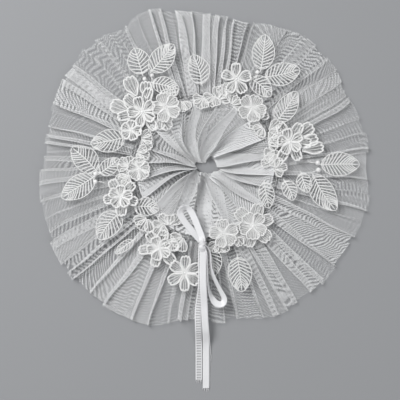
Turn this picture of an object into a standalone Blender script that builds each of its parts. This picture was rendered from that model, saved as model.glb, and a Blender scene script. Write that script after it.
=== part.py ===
"""A tulle collar laid flat: a gathered outer ruffle of two net layers, a neck band, a frill that has
fallen inward to a small centre hole, embroidered leaves and flowers over the seam, and a ribbon tie.

Metres, +Z up, the collar on the XY plane with its tie towards -Y."""

import math
import random

import bmesh
import bpy
from mathutils import Vector

MM = 0.001

# Driving dimensions, in millimetres until MM makes them metres
SEAM = 0.3  # gap left between neighbouring pieces
CLOTH = 1.1  # thickness of a net wall, square to its face

BAND_INNER = 59.5
BAND_OUTER = 66.3
BAND_HEIGHT = 6.2
BAND_SIDES = 60

RUFFLE_PLEATS = 76
RUFFLE_SEED = 5
RUFFLE_ROWS = 4
VALLEY_SHARE = 0.34  # flat bottom of a pleat, as a share of its width
RUFFLE_RISE_AT_BAND = 2.6
RUFFLE_RISE_AT_HEM = 3.7
LOWEST_CREST = 0.8  # share of the rise that every pleat reaches
HEM_STEP = 1.8  # how far one pleat's hem lies inside or outside its neighbour's

FRILL_FOLDS = 22
FRILL_SEED = 11
FRILL_GAP_X = 12.6  # half widths of the centre hole
FRILL_GAP_Y = 9.6
FRILL_GAP_CENTRE = (2.6, 1.4)

LACE_FLOOR = 6.6  # underside of the lowest lace piece
LACE_THICK = 1.0
RIB_RISE = 0.6  # how far a leaf's midrib stands over its edge
PETAL_RISE = 0.5
FLOWER_BOSS = 0.8
LACE_STEP = 1.9  # from one layer of lace pieces to the next

RIBBON_WIDTH = 6.0
RIBBON_THICK = 1.0

NET_WHITE = (0.86, 0.87, 0.88)
LACE_WHITE = (0.92, 0.92, 0.91)
RIBBON_WHITE = (0.90, 0.90, 0.91)

# The hem's radius round the collar, with the tie at 270 degrees
HEM = (  # degrees, millimetres
    (0, 146),
    (10, 148),
    (27, 142),
    (35, 146),
    (55, 146),
    (64, 140),
    (75, 133),
    (90, 136),
    (100, 142),
    (110, 149),
    (116, 149),
    (121, 142),
    (128, 148),
    (135, 151),
    (141, 147),
    (148, 150),
    (160, 146),
    (180, 146),
    (195, 151),
    (210, 154),
    (228, 156),
    (240, 152),
    (250, 149),
    (260, 139),
    (285, 139),
    (295, 146),
    (310, 148),
    (325, 145),
    (340, 149),
    (350, 149),
)

# Pleats that stand out as broad or narrow, by the middle of each, and their width at the hem
MARKED_PLEATS = (  # degrees, millimetres
    (36.8, 26),
    (89.0, 9),
    (98.6, 8),
    (145.9, 9),
    (231.8, 27),
    (322.0, 32),
)

# The frill from the band in to the hole
FRILL_SECTIONS = (  # reach towards the hole, height of the valleys, rise of the crests
    (0.00, 1.4, 3.1),
    (0.28, 1.2, 3.5),
    (0.50, 0.8, 6.0),
    (0.70, 0.3, 7.4),
    (0.87, 0.0, 6.2),
    (1.00, 0.0, 3.6),
)
FRILL_TWIST = ((60, 30), (150, 0), (240, -30), (330, 15))  # degrees round the band, turn by the hole
FOLD_PROFILE = ((0.0, 0.0), (0.32, 0.84), (0.62, 1.0))  # share of a fold, share of its rise

LEAVES = (  # name, base x, base y, tip x, tip y, width, tip lift
    ("leaf_01", -56, 84, -63, 107, 20, 0.0),
    ("leaf_02", -48, 86, -28, 110, 20, 0.6),
    ("leaf_03", -47, 76, -23, 70, 15, 0.0),
    ("leaf_04", -3, 75, -11, 101, 19, 0.6),
    ("leaf_05", 50, 88, 54, 119, 20, 0.6),
    ("leaf_06", 54, 81, 85, 88, 20, 0.4),
    ("leaf_07", 41, 80, 59, 64, 16, 0.0),
    ("leaf_08", 64, 41, 82, 68, 18, 0.6),
    ("leaf_09", 104, 3, 138, 3, 21, 0.5),
    ("leaf_10", 97, -7, 117, -38, 21, 0.5),
    ("leaf_11", 53, -13, 57, -36, 14, 0.0),
    ("leaf_12", 86, -5, 92, -22, 13, 0.0),
    ("leaf_13", 71, -12, 79, -29, 13, 0.0),
    ("leaf_14", 29, -80, 33, -111, 21, 0.5),
    ("leaf_15", 3, -71, 8, -97, 17, 0.0),
    ("leaf_16", -76, -40, -95, -64, 21, 0.5),
    ("leaf_17", -63, -35, -41, -37, 16, 0.0),
    ("leaf_18", -64, -65, -80, -77, 8, 0.0),
    ("leaf_19", -72, 27, -102, 21, 20, 0.6),
    ("leaf_20", -97, -3, -119, 18, 21, 0.5),
    ("leaf_21", -94, -5, -77, 8, 14, 0.0),
    ("leaf_22", -99, -8, -128, -27, 20, 0.5),
)
LEAF_STATIONS = (  # share of the length, share of half the width
    (0.0, 0.10),
    (0.16, 0.66),
    (0.42, 1.0),
    (0.68, 0.86),
    (0.88, 0.44),
    (1.0, 0.07),
)

FLOWERS = (  # name, x, y, radius, petals, turn in degrees
    ("flower_01", -56, 50, 22, 6, 12),
    ("flower_02", -35, 54, 13, 5, 40),
    ("flower_03", -66, 33, 9, 5, 5),
    ("flower_04", 28, 79, 14, 5, 18),
    ("flower_05", 42, 53, 13, 5, 60),
    ("flower_06", 76, 23, 19, 6, 0),
    ("flower_07", 43, -52, 20, 6, 20),
    ("flower_08", 17, -59, 13, 5, 30),
    ("flower_09", -41, -72, 18, 6, 10),
    ("flower_10", -18, -94, 16, 6, 30),
    ("flower_11", -75, -26, 17, 5, 50),
    ("flower_12", -59, -1, 10, 5, 15),
)
PETAL_POINTS = (  # share of a petal, share of the radius
    (0.0, 1.0),
    (0.16, 0.96),
    (0.32, 0.74),
    (0.5, 0.38),
    (0.68, 0.74),
    (0.84, 0.96),
)

KNOT_PLACE = (-2.7, -68.0, 12.3)
KNOT_SIZE = (3.4, 5.6, 3.4)
LOOP_STAND = 0.88  # 0 is a ribbon lying flat, 1 a ribbon on its edge
LOOPS = {  # points along the middle of each loop's ribbon: x, y, z
    "bow_loop_upper": (
        (-6.1, -63.8, 12.3),
        (-10.2, -57.0, 12.2),
        (-15.8, -49.0, 11.7),
        (-20.9, -41.6, 11.1),
        (-20.2, -37.6, 10.9),
        (-16.6, -36.2, 10.9),
        (-12.4, -40.0, 11.1),
        (-7.8, -49.0, 11.8),
        (-3.6, -57.0, 12.2),
        (-2.5, -61.8, 12.3),
    ),
    "bow_loop_lower": (
        (1.9, -69.4, 12.3),
        (5.2, -74.0, 12.3),
        (5.7, -84.0, 12.2),
        (6.4, -95.0, 12.0),
        (10.8, -107.0, 11.0),
        (16.4, -117.0, 10.0),
        (14.8, -121.2, 9.8),
        (10.2, -120.6, 9.8),
        (6.0, -113.5, 10.4),
        (3.9, -104.0, 11.8),
        (3.1, -95.0, 12.1),
        (2.9, -84.0, 12.2),
        (2.7, -75.2, 12.3),
    ),
}
TAILS = {  # points along the middle of each tail: x, y, z
    "tail_right": (
        (-1.6, -74.1, 12.4),
        (-1.7, -84.0, 12.4),
        (-1.8, -96.0, 12.4),
        (-1.5, -108.0, 12.1),
        (-1.1, -115.0, 10.6),
        (-0.7, -122.0, 9.2),
        (-0.3, -131.0, 8.9),
        (0.1, -139.0, 8.7),
        (0.6, -146.0, 7.4),
        (0.9, -152.0, 4.6),
        (1.0, -158.0, 2.0),
        (1.0, -166.0, 0.7),
        (1.0, -178.0, 0.55),
        (1.0, -189.0, 0.55),
        (0.9, -198.0, 0.55),
    ),
    "tail_left": (
        (-3.4, -74.1, 11.0),
        (-3.2, -84.0, 11.0),
        (-3.2, -96.0, 11.0),
        (-3.5, -107.0, 10.8),
        (-4.3, -114.0, 9.0),
        (-5.6, -122.0, 7.6),
        (-6.3, -131.0, 7.4),
        (-6.1, -139.0, 7.3),
        (-5.9, -146.0, 6.0),
        (-5.7, -152.0, 3.0),
        (-5.6, -158.0, 1.2),
        (-5.5, -166.0, 0.6),
        (-5.5, -178.0, 0.55),
        (-5.5, -190.5, 0.55),
    ),
}


def clear_scene():
    for obj in list(bpy.data.objects):
        bpy.data.objects.remove(obj)


def finish(name, colour, roughness):
    """The piece's own Principled material."""
    material = bpy.data.materials.new(name + "_finish")
    material.use_nodes = True
    shader = material.node_tree.nodes["Principled BSDF"]
    shader.inputs["Base Color"].default_value = (*colour, 1)
    shader.inputs["Roughness"].default_value = roughness
    shader.inputs["Metallic"].default_value = 0
    return material


def add_object(name, bm, colour, roughness=0.8):
    if bm.calc_volume(signed=True) < 0:
        bmesh.ops.reverse_faces(bm, faces=bm.faces)
    mesh = bpy.data.meshes.new(name)
    bm.to_mesh(mesh)
    bm.free()
    mesh.shade_smooth()
    mesh.set_sharp_from_angle(angle=math.radians(40))
    mesh.materials.append(finish(name, colour, roughness))
    obj = bpy.data.objects.new(name, mesh)
    bpy.context.collection.objects.link(obj)
    return obj


def quad(bm, a, b, c, d):
    """Two triangles, always split from the first corner, so that stacked walls bend alike."""
    bm.faces.new((a, b, c))
    bm.faces.new((a, c, d))


def wall(under, over, ring):
    """A closed wall between two grids of points given in millimetres. With ring set, the last column of
    each row joins the first."""
    bm = bmesh.new()
    low = [[bm.verts.new(Vector(p) * MM) for p in row] for row in under]
    high = [[bm.verts.new(Vector(p) * MM) for p in row] for row in over]
    columns = len(low[0])
    spans = [(j, (j + 1) % columns) for j in range(columns if ring else columns - 1)]
    for i in range(len(low) - 1):
        for j, k in spans:
            quad(bm, high[i][j], high[i + 1][j], high[i + 1][k], high[i][k])
            quad(bm, low[i][j], low[i][k], low[i + 1][k], low[i + 1][j])
        if not ring:
            quad(bm, low[i][0], low[i + 1][0], high[i + 1][0], high[i][0])
            quad(bm, high[i][-1], high[i + 1][-1], low[i + 1][-1], low[i][-1])
    for j, k in spans:
        quad(bm, high[0][j], high[0][k], low[0][k], low[0][j])
        quad(bm, low[-1][j], low[-1][k], high[-1][k], high[-1][j])
    return bm


def at_angle(table, degrees):
    """A value read between the rows of a table that goes once round."""
    last = table[-1]
    previous = (last[0] - 360, last[1])
    for row in (*table, (table[0][0] + 360, table[0][1])):
        if degrees <= row[0]:
            share = (degrees - previous[0]) / (row[0] - previous[0])
            return previous[1] + (row[1] - previous[1]) * share
        previous = row
    return previous[1]


def pleat_edges():
    """The angles between the ruffle's pleats, in degrees: the marked pleats keep their place and width,
    and the others share the stretches between them unevenly."""
    rng = random.Random(RUFFLE_SEED)
    fixed = []
    for middle, width in MARKED_PLEATS:
        half = math.degrees(width / at_angle(HEM, middle)) / 2
        fixed.append((middle - half, middle + half))
    free = 360 - sum(high - low for low, high in fixed)
    spare = RUFFLE_PLEATS - len(fixed)
    edges = []
    for index, (low, high) in enumerate(fixed):
        edges.append(low)
        following = fixed[(index + 1) % len(fixed)][0] + (360 if index == len(fixed) - 1 else 0)
        count = max(1, round(spare * (following - high) / free))
        widths = [rng.uniform(0.55, 1.45) for _ in range(count)]
        place = high
        for width in widths:
            edges.append(place)
            place += width * (following - high) / sum(widths)
    return edges


def ruffle_columns():
    """For each pleat, its flat valley and then its crest: angle, share of the rise, hem offset."""
    rng = random.Random(RUFFLE_SEED + 1)
    edges = pleat_edges()
    columns = []
    for start, end in zip(edges, edges[1:] + [edges[0] + 360]):
        width = end - start
        crest = rng.uniform(LOWEST_CREST, 1.0)
        lean = rng.uniform(0.5, 0.84)
        step = rng.uniform(-HEM_STEP, HEM_STEP)
        columns.append((start, 0.0, step))
        columns.append((start + VALLEY_SHARE * width, 0.0, step))
        columns.append((start + (VALLEY_SHARE + (1 - VALLEY_SHARE) * lean) * width, crest, step))
    return columns


def ruffle_centre(columns):
    """How far the hem's box lies off the band's centre, so that the collar can be centred on it."""
    xs, ys = [], []
    for angle, _, step in columns:
        radius = at_angle(HEM, angle % 360) + step
        xs.append(radius * math.cos(math.radians(angle)))
        ys.append(radius * math.sin(math.radians(angle)))
    return (min(xs) + max(xs)) / 2, (min(ys) + max(ys)) / 2


def upright(rise, run):
    """The upright thickness of a net wall that climbs this much over this run."""
    return CLOTH * math.hypot(1, rise / run)


def make_ruffles(columns, centre):
    """Two layers of one pleated form, the upper made from the lower's points moved up."""
    under, thick = [], []
    for i in range(RUFFLE_ROWS):
        share = i / (RUFFLE_ROWS - 1)
        rise = RUFFLE_RISE_AT_BAND + (RUFFLE_RISE_AT_HEM - RUFFLE_RISE_AT_BAND) * share
        row, walls = [], []
        for angle, crest, step in columns:
            hem = at_angle(HEM, angle % 360) + step
            radius = BAND_OUTER + SEAM + (hem - BAND_OUTER - SEAM) * share
            turn = math.radians(angle)
            middle = [c * share for c in centre]
            row.append((radius * math.cos(turn) - middle[0], radius * math.sin(turn) - middle[1], rise * crest))
            walls.append(upright(rise, 2 * math.pi * radius / RUFFLE_PLEATS / 2))
        under.append(row)
        thick.append(walls)
    for level, name in enumerate(("ruffle_lower", "ruffle_upper")):
        bottoms, tops = [], []
        for row, walls in zip(under, thick):
            lifts = [level * (w + SEAM * w / CLOTH) for w in walls]
            bottoms.append([(x, y, z + lift) for (x, y, z), lift in zip(row, lifts)])
            tops.append([(x, y, z + lift + w) for (x, y, z), lift, w in zip(row, lifts, walls)])
        add_object(name, wall(bottoms, tops, ring=True), NET_WHITE)


def make_band():
    """The casing under the lace, turned from one section with a flat underside."""
    chamfer = 1.2
    section = (
        (BAND_INNER, 0.0),
        (BAND_OUTER, 0.0),
        (BAND_OUTER, BAND_HEIGHT - chamfer),
        (BAND_OUTER - chamfer, BAND_HEIGHT),
        (BAND_INNER + chamfer, BAND_HEIGHT),
        (BAND_INNER, BAND_HEIGHT - chamfer),
    )
    bm = bmesh.new()
    corners = [bm.verts.new((radius * MM, 0, height * MM)) for radius, height in section]
    edges = [bm.edges.new((a, b)) for a, b in zip(corners, corners[1:] + corners[:1])]
    bmesh.ops.spin(
        bm,
        geom=corners + edges,
        cent=(0, 0, 0),
        axis=(0, 0, 1),
        angle=2 * math.pi,
        steps=BAND_SIDES,
        use_merge=True,
    )
    bmesh.ops.remove_doubles(bm, verts=bm.verts, dist=0.00001)
    bmesh.ops.recalc_face_normals(bm, faces=bm.faces)
    add_object("neck_band", bm, NET_WHITE)


def fold_columns():
    """The frill's folds: angle, share of the rise, and each fold's own height."""
    rng = random.Random(FRILL_SEED)
    widths = [rng.uniform(0.75, 1.25) for _ in range(FRILL_FOLDS)]
    columns = []
    start = 0.0
    for width in widths:
        wide = 360 * width / sum(widths)
        height = rng.uniform(0.78, 1.0)
        for share, rise in FOLD_PROFILE:
            columns.append((start + share * wide, rise * height, wide))
        start += wide
    return columns


def make_frill():
    ring = BAND_INNER - SEAM
    under, over = [], []
    for reach, valley, rise in FRILL_SECTIONS:
        low, high = [], []
        for angle, crest, wide in fold_columns():
            start = math.radians(angle)
            end = math.radians(angle + at_angle(FRILL_TWIST, angle))
            x = (1 - reach) * ring * math.cos(start)
            x += reach * (FRILL_GAP_CENTRE[0] + FRILL_GAP_X * math.cos(end))
            y = (1 - reach) * ring * math.sin(start)
            y += reach * (FRILL_GAP_CENTRE[1] + FRILL_GAP_Y * math.sin(end))
            run = math.radians(wide) * math.hypot(x, y) / 2
            z = valley + rise * crest
            low.append((x, y, z))
            high.append((x, y, z + upright(rise, run)))
        under.append(low)
        over.append(high)
    add_object("inner_frill", wall(under, over, ring=True), NET_WHITE)


def leaf_outline(row):
    """The leaf's stations: a point on the midrib, half the width there and the share of its length."""
    _, base_x, base_y, tip_x, tip_y, width, _ = row
    base, tip = Vector((base_x, base_y)), Vector((tip_x, tip_y))
    return [(base.lerp(tip, along), width / 2 * half, along) for along, half in LEAF_STATIONS]


def leaf_polygon(row):
    _, base_x, base_y, tip_x, tip_y, _, _ = row
    side = Vector((base_y - tip_y, tip_x - base_x)).normalized()
    stations = leaf_outline(row)
    left = [middle + side * half for middle, half, _ in stations]
    right = [middle - side * half for middle, half, _ in stations]
    return left + right[::-1]


def flower_polygon(row):
    _, x, y, radius, petals, turn = row
    points = []
    for petal in range(petals):
        for share, reach in PETAL_POINTS:
            angle = math.radians(turn + 360 * (petal + share) / petals)
            points.append(Vector((x, y)) + radius * reach * Vector((math.cos(angle), math.sin(angle))))
    return points


def inside(point, polygon):
    """Whether a point lies in a polygon, by counting the sides that a ray crosses."""
    crossed = False
    for a, b in zip(polygon, polygon[1:] + polygon[:1]):
        if (a.y > point.y) != (b.y > point.y):
            crossed ^= point.x < a.x + (b.x - a.x) * (point.y - a.y) / (b.y - a.y)
    return crossed


def dense(polygon, steps=8):
    points = []
    for a, b in zip(polygon, polygon[1:] + polygon[:1]):
        points += [a.lerp(b, step / steps) for step in range(steps)]
    return points


def grown(polygon, margin):
    middle = sum(polygon, Vector((0, 0))) / len(polygon)
    return [p + (p - middle).normalized() * margin for p in polygon]


def lie_apart(one, other):
    one, other = grown(one, SEAM), grown(other, SEAM)
    return not any(inside(p, other) for p in dense(one)) and not any(inside(p, one) for p in dense(other))


def stack_levels(polygons):
    """Each piece lies one step over the highest earlier piece that it crosses."""
    levels = []
    for index, polygon in enumerate(polygons):
        beneath = [levels[k] for k in range(index) if not lie_apart(polygon, polygons[k])]
        levels.append(max(beneath) + 1 if beneath else 0)
    return levels


def make_leaf(row, level):
    name, base_x, base_y, tip_x, tip_y, _, lift = row
    side = Vector((base_y - tip_y, tip_x - base_x)).normalized()
    floor = LACE_FLOOR + level * LACE_STEP
    under, over = [], []
    for middle, half, along in leaf_outline(row):
        z = floor + lift * along * along
        places = [middle + side * half, middle, middle - side * half]
        under.append([(*place, z) for place in places])
        rises = (0, RIB_RISE * min(1, half / 3), 0)
        over.append([(*place, z + LACE_THICK + rise) for place, rise in zip(places, rises)])
    add_object(name, wall(under, over, ring=False), LACE_WHITE)


def make_flower(row, level):
    name, x, y, *_ = row
    floor = LACE_FLOOR + level * LACE_STEP
    centre = Vector((x, y))
    outline = flower_polygon(row)
    rings = (  # share of the radius, height over the floor
        (1.0, LACE_THICK),
        (0.55, LACE_THICK + PETAL_RISE),
    )
    bm = bmesh.new()
    base = [bm.verts.new(Vector((*p, floor)) * MM) for p in outline]
    loops = [base]
    for share, height in rings:
        loops.append([bm.verts.new(Vector((*centre.lerp(p, share), floor + height)) * MM) for p in outline])
    bottom = bm.verts.new(Vector((x, y, floor)) * MM)
    boss = bm.verts.new(Vector((x, y, floor + LACE_THICK + FLOWER_BOSS)) * MM)
    count = len(outline)
    for j in range(count):
        k = (j + 1) % count
        bm.faces.new((bottom, base[k], base[j]))
        bm.faces.new((boss, loops[-1][j], loops[-1][k]))
        for lower, higher in zip(loops, loops[1:]):
            quad(bm, lower[j], lower[k], higher[k], higher[j])
    add_object(name, bm, LACE_WHITE)


def make_lace():
    shapes = [(make_leaf, row, leaf_polygon(row)) for row in LEAVES]
    shapes += [(make_flower, row, flower_polygon(row)) for row in FLOWERS]
    levels = stack_levels([polygon for _, _, polygon in shapes])
    for (make, row, _), level in zip(shapes, levels):
        make(row, level)


def ribbon(name, route, stand):
    """A flat ribbon along a route, lying flat at 0 and standing on its edge at 1, leaning to its left."""
    points = [Vector(p) for p in route]
    lean = math.radians(90 * stand)
    under, over = [], []
    for index, point in enumerate(points):
        ahead = (points[min(index + 1, len(points) - 1)] - points[max(index - 1, 0)]).normalized()
        left = Vector((0, 0, 1)).cross(ahead).normalized()
        across = left * math.cos(lean) + Vector((0, 0, math.sin(lean)))
        half = across * RIBBON_WIDTH / 2
        face = ahead.cross(across).normalized() * RIBBON_THICK / 2
        under.append([point - half - face, point + half - face])
        over.append([point - half + face, point + half + face])
    add_object(name, wall(under, over, ring=False), RIBBON_WHITE, roughness=0.35)


def make_tie():
    bm = bmesh.new()
    bmesh.ops.create_icosphere(bm, subdivisions=2, radius=MM)
    bmesh.ops.scale(bm, vec=KNOT_SIZE, verts=bm.verts)
    bmesh.ops.translate(bm, vec=Vector(KNOT_PLACE) * MM, verts=bm.verts)
    add_object("bow_knot", bm, RIBBON_WHITE, roughness=0.35)
    for name, route in LOOPS.items():
        ribbon(name, route, LOOP_STAND)
    for name, route in TAILS.items():
        ribbon(name, route, stand=0)


def main():
    clear_scene()
    columns = ruffle_columns()
    make_ruffles(columns, ruffle_centre(columns))
    make_band()
    make_frill()
    make_lace()
    make_tie()


main()
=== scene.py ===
"""The looks of a tulle collar laid flat: two pleated layers of net, a ruched neck casing, a frill fallen
inward, embroidered leaves, flowers and berries, and a satin tie. It is laid out as an add-on and run as a
script. Metres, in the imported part's own frame, with the tie towards -Y."""

import collections
import math
import random

import bmesh
import bpy
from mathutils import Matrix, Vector, noise


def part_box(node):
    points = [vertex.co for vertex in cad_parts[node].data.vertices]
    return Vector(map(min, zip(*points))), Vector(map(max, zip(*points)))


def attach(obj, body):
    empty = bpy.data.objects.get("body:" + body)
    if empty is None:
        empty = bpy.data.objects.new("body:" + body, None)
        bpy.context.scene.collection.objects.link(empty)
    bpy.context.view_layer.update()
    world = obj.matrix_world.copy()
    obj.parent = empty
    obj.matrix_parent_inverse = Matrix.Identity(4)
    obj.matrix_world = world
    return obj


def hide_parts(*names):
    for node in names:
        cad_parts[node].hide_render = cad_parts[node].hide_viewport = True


bl_info = {
    "name": "Tulle collar",
    "version": (1, 0, 0),
    "blender": (4, 5, 0),
    "location": "View3D > Sidebar > Collar",
    "description": "Dresses the packed collar in net, lace and ribbon",
    "category": "Add Mesh",
}

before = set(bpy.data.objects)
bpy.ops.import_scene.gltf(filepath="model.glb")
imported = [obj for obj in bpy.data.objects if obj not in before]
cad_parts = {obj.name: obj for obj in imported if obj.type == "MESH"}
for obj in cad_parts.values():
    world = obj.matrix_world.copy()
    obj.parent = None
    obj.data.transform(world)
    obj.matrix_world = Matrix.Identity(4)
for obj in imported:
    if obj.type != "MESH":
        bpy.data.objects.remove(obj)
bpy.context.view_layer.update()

MM = 0.001
BODY = "root"
CUT_MAP = "Cut"  # the UV map that holds a sheet's place on its cloth, in metres, or a cord's in mm and turns
FOLD_MAP = "Folds"  # and the one that holds how near a fold it is, and which panel it lies in

# The collar's plan, in millimetres
BAND_INNER = 59.5
BAND_OUTER = 66.3
BAND_TOP = 6.2
SEAM = 0.3  # the gap between a cloth and the casing that it is sewn to

RUFFLE_PLEATS = 76
RUFFLE_SEED = 5
LOWEST_CREST = 0.8  # the lowest pleat's height, as a share of the highest's
HEM_STEP = 2.6  # the most that a pleat's hem lies inside or outside the outline
MARKED_GATHER = 2.6  # cloth over hem in the narrow, close pleats
MARKED_NARROW = 18  # the marked pleats up to this width are the close ones, and the wider ones lie flat
VALLEY_SHARE = 0.34  # the first part of a pleat, in which no fold lies

# The hem's radius round the collar, with the tie at 270 degrees
HEM = (  # degrees, millimetres
    (0, 146),
    (10, 148),
    (27, 142),
    (35, 146),
    (55, 146),
    (64, 140),
    (75, 133),
    (90, 136),
    (100, 142),
    (110, 149),
    (116, 149),
    (121, 142),
    (128, 148),
    (135, 151),
    (141, 147),
    (148, 150),
    (160, 146),
    (180, 146),
    (195, 151),
    (210, 154),
    (228, 156),
    (240, 152),
    (250, 149),
    (260, 139),
    (285, 139),
    (295, 146),
    (310, 148),
    (325, 145),
    (340, 149),
    (350, 149),
)
MARKED_PLEATS = (  # degrees at the middle, millimetres wide at the hem, panel number (high: close and plain)
    (36.8, 26, 0.97),
    (89.0, 9, 0.97),
    (98.6, 8, 0.97),
    (145.9, 9, 0.97),
    (231.8, 27, 0.97),
    (322.0, 32, 0.11),
)
BROAD_PANELS = (  # degrees from, degrees to, panel number: here the pleats are pressed out flat
    (4, 21, 0.11),
    (118, 135, 0.087),
    (241, 257, 0.11),
)
# Where the pleats change the way they lie, round the collar
LEAN_CHANGES = (24, 70, 118, 172, 214, 262)

FRILL_FOLDS = 22
FRILL_SEED = 11
FRILL_GAP = 11.1  # the radius that the frill's cloth is drawn in to at the hole
FRILL_GAP_CENTRE = (2.6, 1.4)
FRILL_TWIST = (  # degrees round the band, turn by the hole
    (0, 8),
    (20, 30),
    (40, 55),
    (60, 64),
    (80, 62),
    (100, 50),
    (120, 36),
    (150, 14),
    (185, 0),
    (240, -30),
    (300, -10),
    (335, 14),
)
FRILL_SWAY = (  # degrees round the band, how far a fold bows sideways on its way, in millimetres
    (0, 0),
    (35, 2),
    (55, 2),
    (70, 6),
    (85, 9),
    (110, 8),
    (135, 3),
    (160, -2),
    (215, -4),
    (240, 3),
    (275, -3),
    (300, 2),
    (330, -4),
)
FRILL_EDGE = (  # the ragged edge of the hole: degrees round it, radius
    (15, 8.7),
    (55, 8.8),
    (78, 10.0),
    (90, 7.2),
    (112, 4.6),
    (145, 6.0),
    (163, 11.0),
    (171, 12.2),
    (197, 10.4),
    (214, 9.6),
    (220, 7.4),
    (253, 6.4),
    (282, 8.9),
    (318, 6.5),
    (343, 12.8),
    (352, 9.2),
)
FRILL_SECTIONS = (  # reach towards the hole, height of the valleys, height of the crests
    (0.00, 6.0, 6.5),
    (0.06, 5.0, 6.4),
    (0.16, 2.6, 6.2),
    (0.31, 1.4, 6.0),
    (0.50, 1.0, 7.4),
    (0.70, 0.7, 8.6),
    (0.87, 0.4, 7.6),
    (1.00, 0.3, 5.2),
)

LEAVES = (  # base x, base y, tip x, tip y, width, tip lift
    (-56, 84, -63, 107, 20, 0.0),
    (-48, 86, -28, 110, 20, 0.6),
    (-47, 76, -23, 70, 15, 0.0),
    (-3, 75, -11, 101, 19, 0.6),
    (50, 88, 54, 119, 20, 0.6),
    (54, 81, 85, 88, 20, 0.4),
    (41, 80, 59, 64, 16, 0.0),
    (64, 41, 82, 68, 18, 0.6),
    (104, 3, 138, 3, 21, 0.5),
    (97, -7, 117, -38, 21, 0.5),
    (53, -13, 57, -36, 14, 0.0),
    (86, -5, 92, -22, 13, 0.0),
    (71, -12, 79, -29, 13, 0.0),
    (29, -80, 33, -111, 21, 0.5),
    (3, -71, 8, -97, 17, 0.0),
    (-76, -40, -95, -64, 21, 0.5),
    (-63, -35, -41, -37, 16, 0.0),
    (-64, -65, -80, -77, 8, 0.0),
    (-72, 27, -102, 21, 20, 0.6),
    (-97, -3, -119, 18, 21, 0.5),
    (-94, -5, -77, 8, 14, 0.0),
    (-99, -8, -128, -27, 20, 0.5),
)
FLOWERS = (  # x, y, radius, petals, turn in degrees, rings of petals
    (-56, 50, 22, 6, 12, 2),
    (-35, 54, 13, 5, 40, 1),
    (-66, 33, 9, 5, 5, 1),
    (28, 79, 14, 5, 18, 1),
    (42, 53, 13, 5, 60, 1),
    (76, 23, 19, 6, 0, 2),
    (43, -52, 20, 6, 20, 2),
    (17, -59, 13, 5, 30, 1),
    (-41, -72, 18, 6, 10, 2),
    (-18, -94, 16, 6, 30, 1),
    (-75, -26, 17, 5, 50, 2),
    (-59, -1, 10, 5, 15, 1),
)
BERRIES = (  # x, y, radius, degrees its stem points, stem length
    (-54, 79.5, 1.9, 270, 5),
    (-47.5, 83, 1.9, 262, 8),
    (47, 85.5, 1.9, 250, 7),
    (101, 4.5, 2.1, 170, 8),
    (101.5, -2, 2.1, 190, 8),
    (-98, -5.5, 2.0, 10, 5),
    (-98, -12.5, 2.0, 350, 7),
)

KNOT_PLACE = (-2.7, -68.0, 12.3)
LOOPS = {  # points along the middle of each loop's ribbon: x, y, z, stand (0 lying flat, 1 on its edge)
    "bow_loop_upper": (
        (-4.0, -65.6, 13.2, 0.4),
        (-6.9, -62.0, 13.0, 0.35),
        (-11.6, -56.2, 12.9, 0.25),
        (-18.0, -48.4, 12.8, 0.2),
        (-22.0, -41.6, 12.8, 0.25),
        (-20.6, -37.0, 12.8, 0.45),
        (-16.4, -35.6, 12.8, 0.45),
        (-12.2, -39.4, 12.8, 0.25),
        (-8.2, -48.0, 13.0, 0.15),
        (-4.8, -56.6, 13.2, 0.2),
        (-2.8, -62.0, 13.4, 0.3),
        (-2.2, -65.6, 13.4, 0.4),
    ),
    "bow_loop_lower": (
        (-0.6, -68.6, 12.6, 0.85),
        (2.4, -71.6, 12.4, 0.85),
        (4.4, -76.0, 12.3, 0.85),
        (4.9, -85.0, 12.2, 0.8),
        (6.6, -94.0, 12.0, 0.7),
        (12.0, -106.0, 11.2, 0.6),
        (17.2, -116.6, 10.6, 0.45),
        (15.0, -121.6, 10.4, 0.2),
        (9.4, -120.6, 10.4, 0.2),
        (4.8, -113.0, 10.8, 0.65),
        (3.0, -104.0, 11.9, 0.88),
        (2.4, -95.0, 12.1, 0.92),
        (2.2, -84.0, 12.2, 0.92),
        (1.6, -75.0, 12.4, 0.88),
        (-0.8, -70.0, 12.6, 0.88),
    ),
}
KNOT_SECTIONS = (  # down the knot: x, y and z of its middle, half its width, half its height
    (-2.3, -61.2, 13.0, 1.5, 0.5),
    (-2.3, -62.2, 13.0, 2.5, 1.5),
    (-2.4, -63.8, 12.8, 3.1, 2.7),
    (-2.5, -65.4, 12.5, 3.1, 3.1),
    (-2.6, -66.8, 12.3, 2.6, 2.8),
    (-2.7, -67.8, 12.3, 2.3, 2.5),
    (-2.7, -68.8, 12.3, 2.8, 2.9),
    (-2.7, -70.4, 12.3, 3.3, 3.2),
    (-2.6, -72.0, 12.3, 3.2, 2.7),
    (-2.5, -73.4, 12.3, 2.9, 1.6),
    (-2.4, -74.6, 12.3, 2.7, 0.8),
)
WRAP = (  # the ribbon round the knot's waist, over its top: x, y, z, stand
    (-5.6, -69.6, 11.8, 0.5),
    (-5.0, -69.2, 14.0, 0.3),
    (-3.4, -68.3, 15.4, 0.05),
    (-1.6, -67.2, 15.2, 0.0),
    (-0.1, -66.2, 13.9, 0.3),
    (0.3, -65.8, 12.0, 0.5),
)
KNOT_SIDES = 32
KNOT_STEPS = 4  # from each of its sections to the next
KNOT_PITCH = 1.35  # about how far apart those lie
KNOT_FOLDS = 7  # the gathers round it
KNOT_GATHER = 0.05  # how deep they are, as a share of its size
KNOT_TWIST = 0.35  # how far they turn from step to step, in radians of one of them
LOOP_STEPS = 6
WRAP_STEPS = 5
WRAP_SHARE = 0.62  # of the ribbon's width that shows in the wrap
LOOSE_THREAD = (  # a thread pulled from the right tail's edge: x, y, z
    (3.4, -144.0, 8.0),
    (4.0, -152.0, 4.9),
    (4.5, -158.0, 2.3),
    (5.0, -165.0, 1.0),
    (5.6, -170.0, 0.5),
    (5.4, -174.0, 0.35),
)
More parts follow.
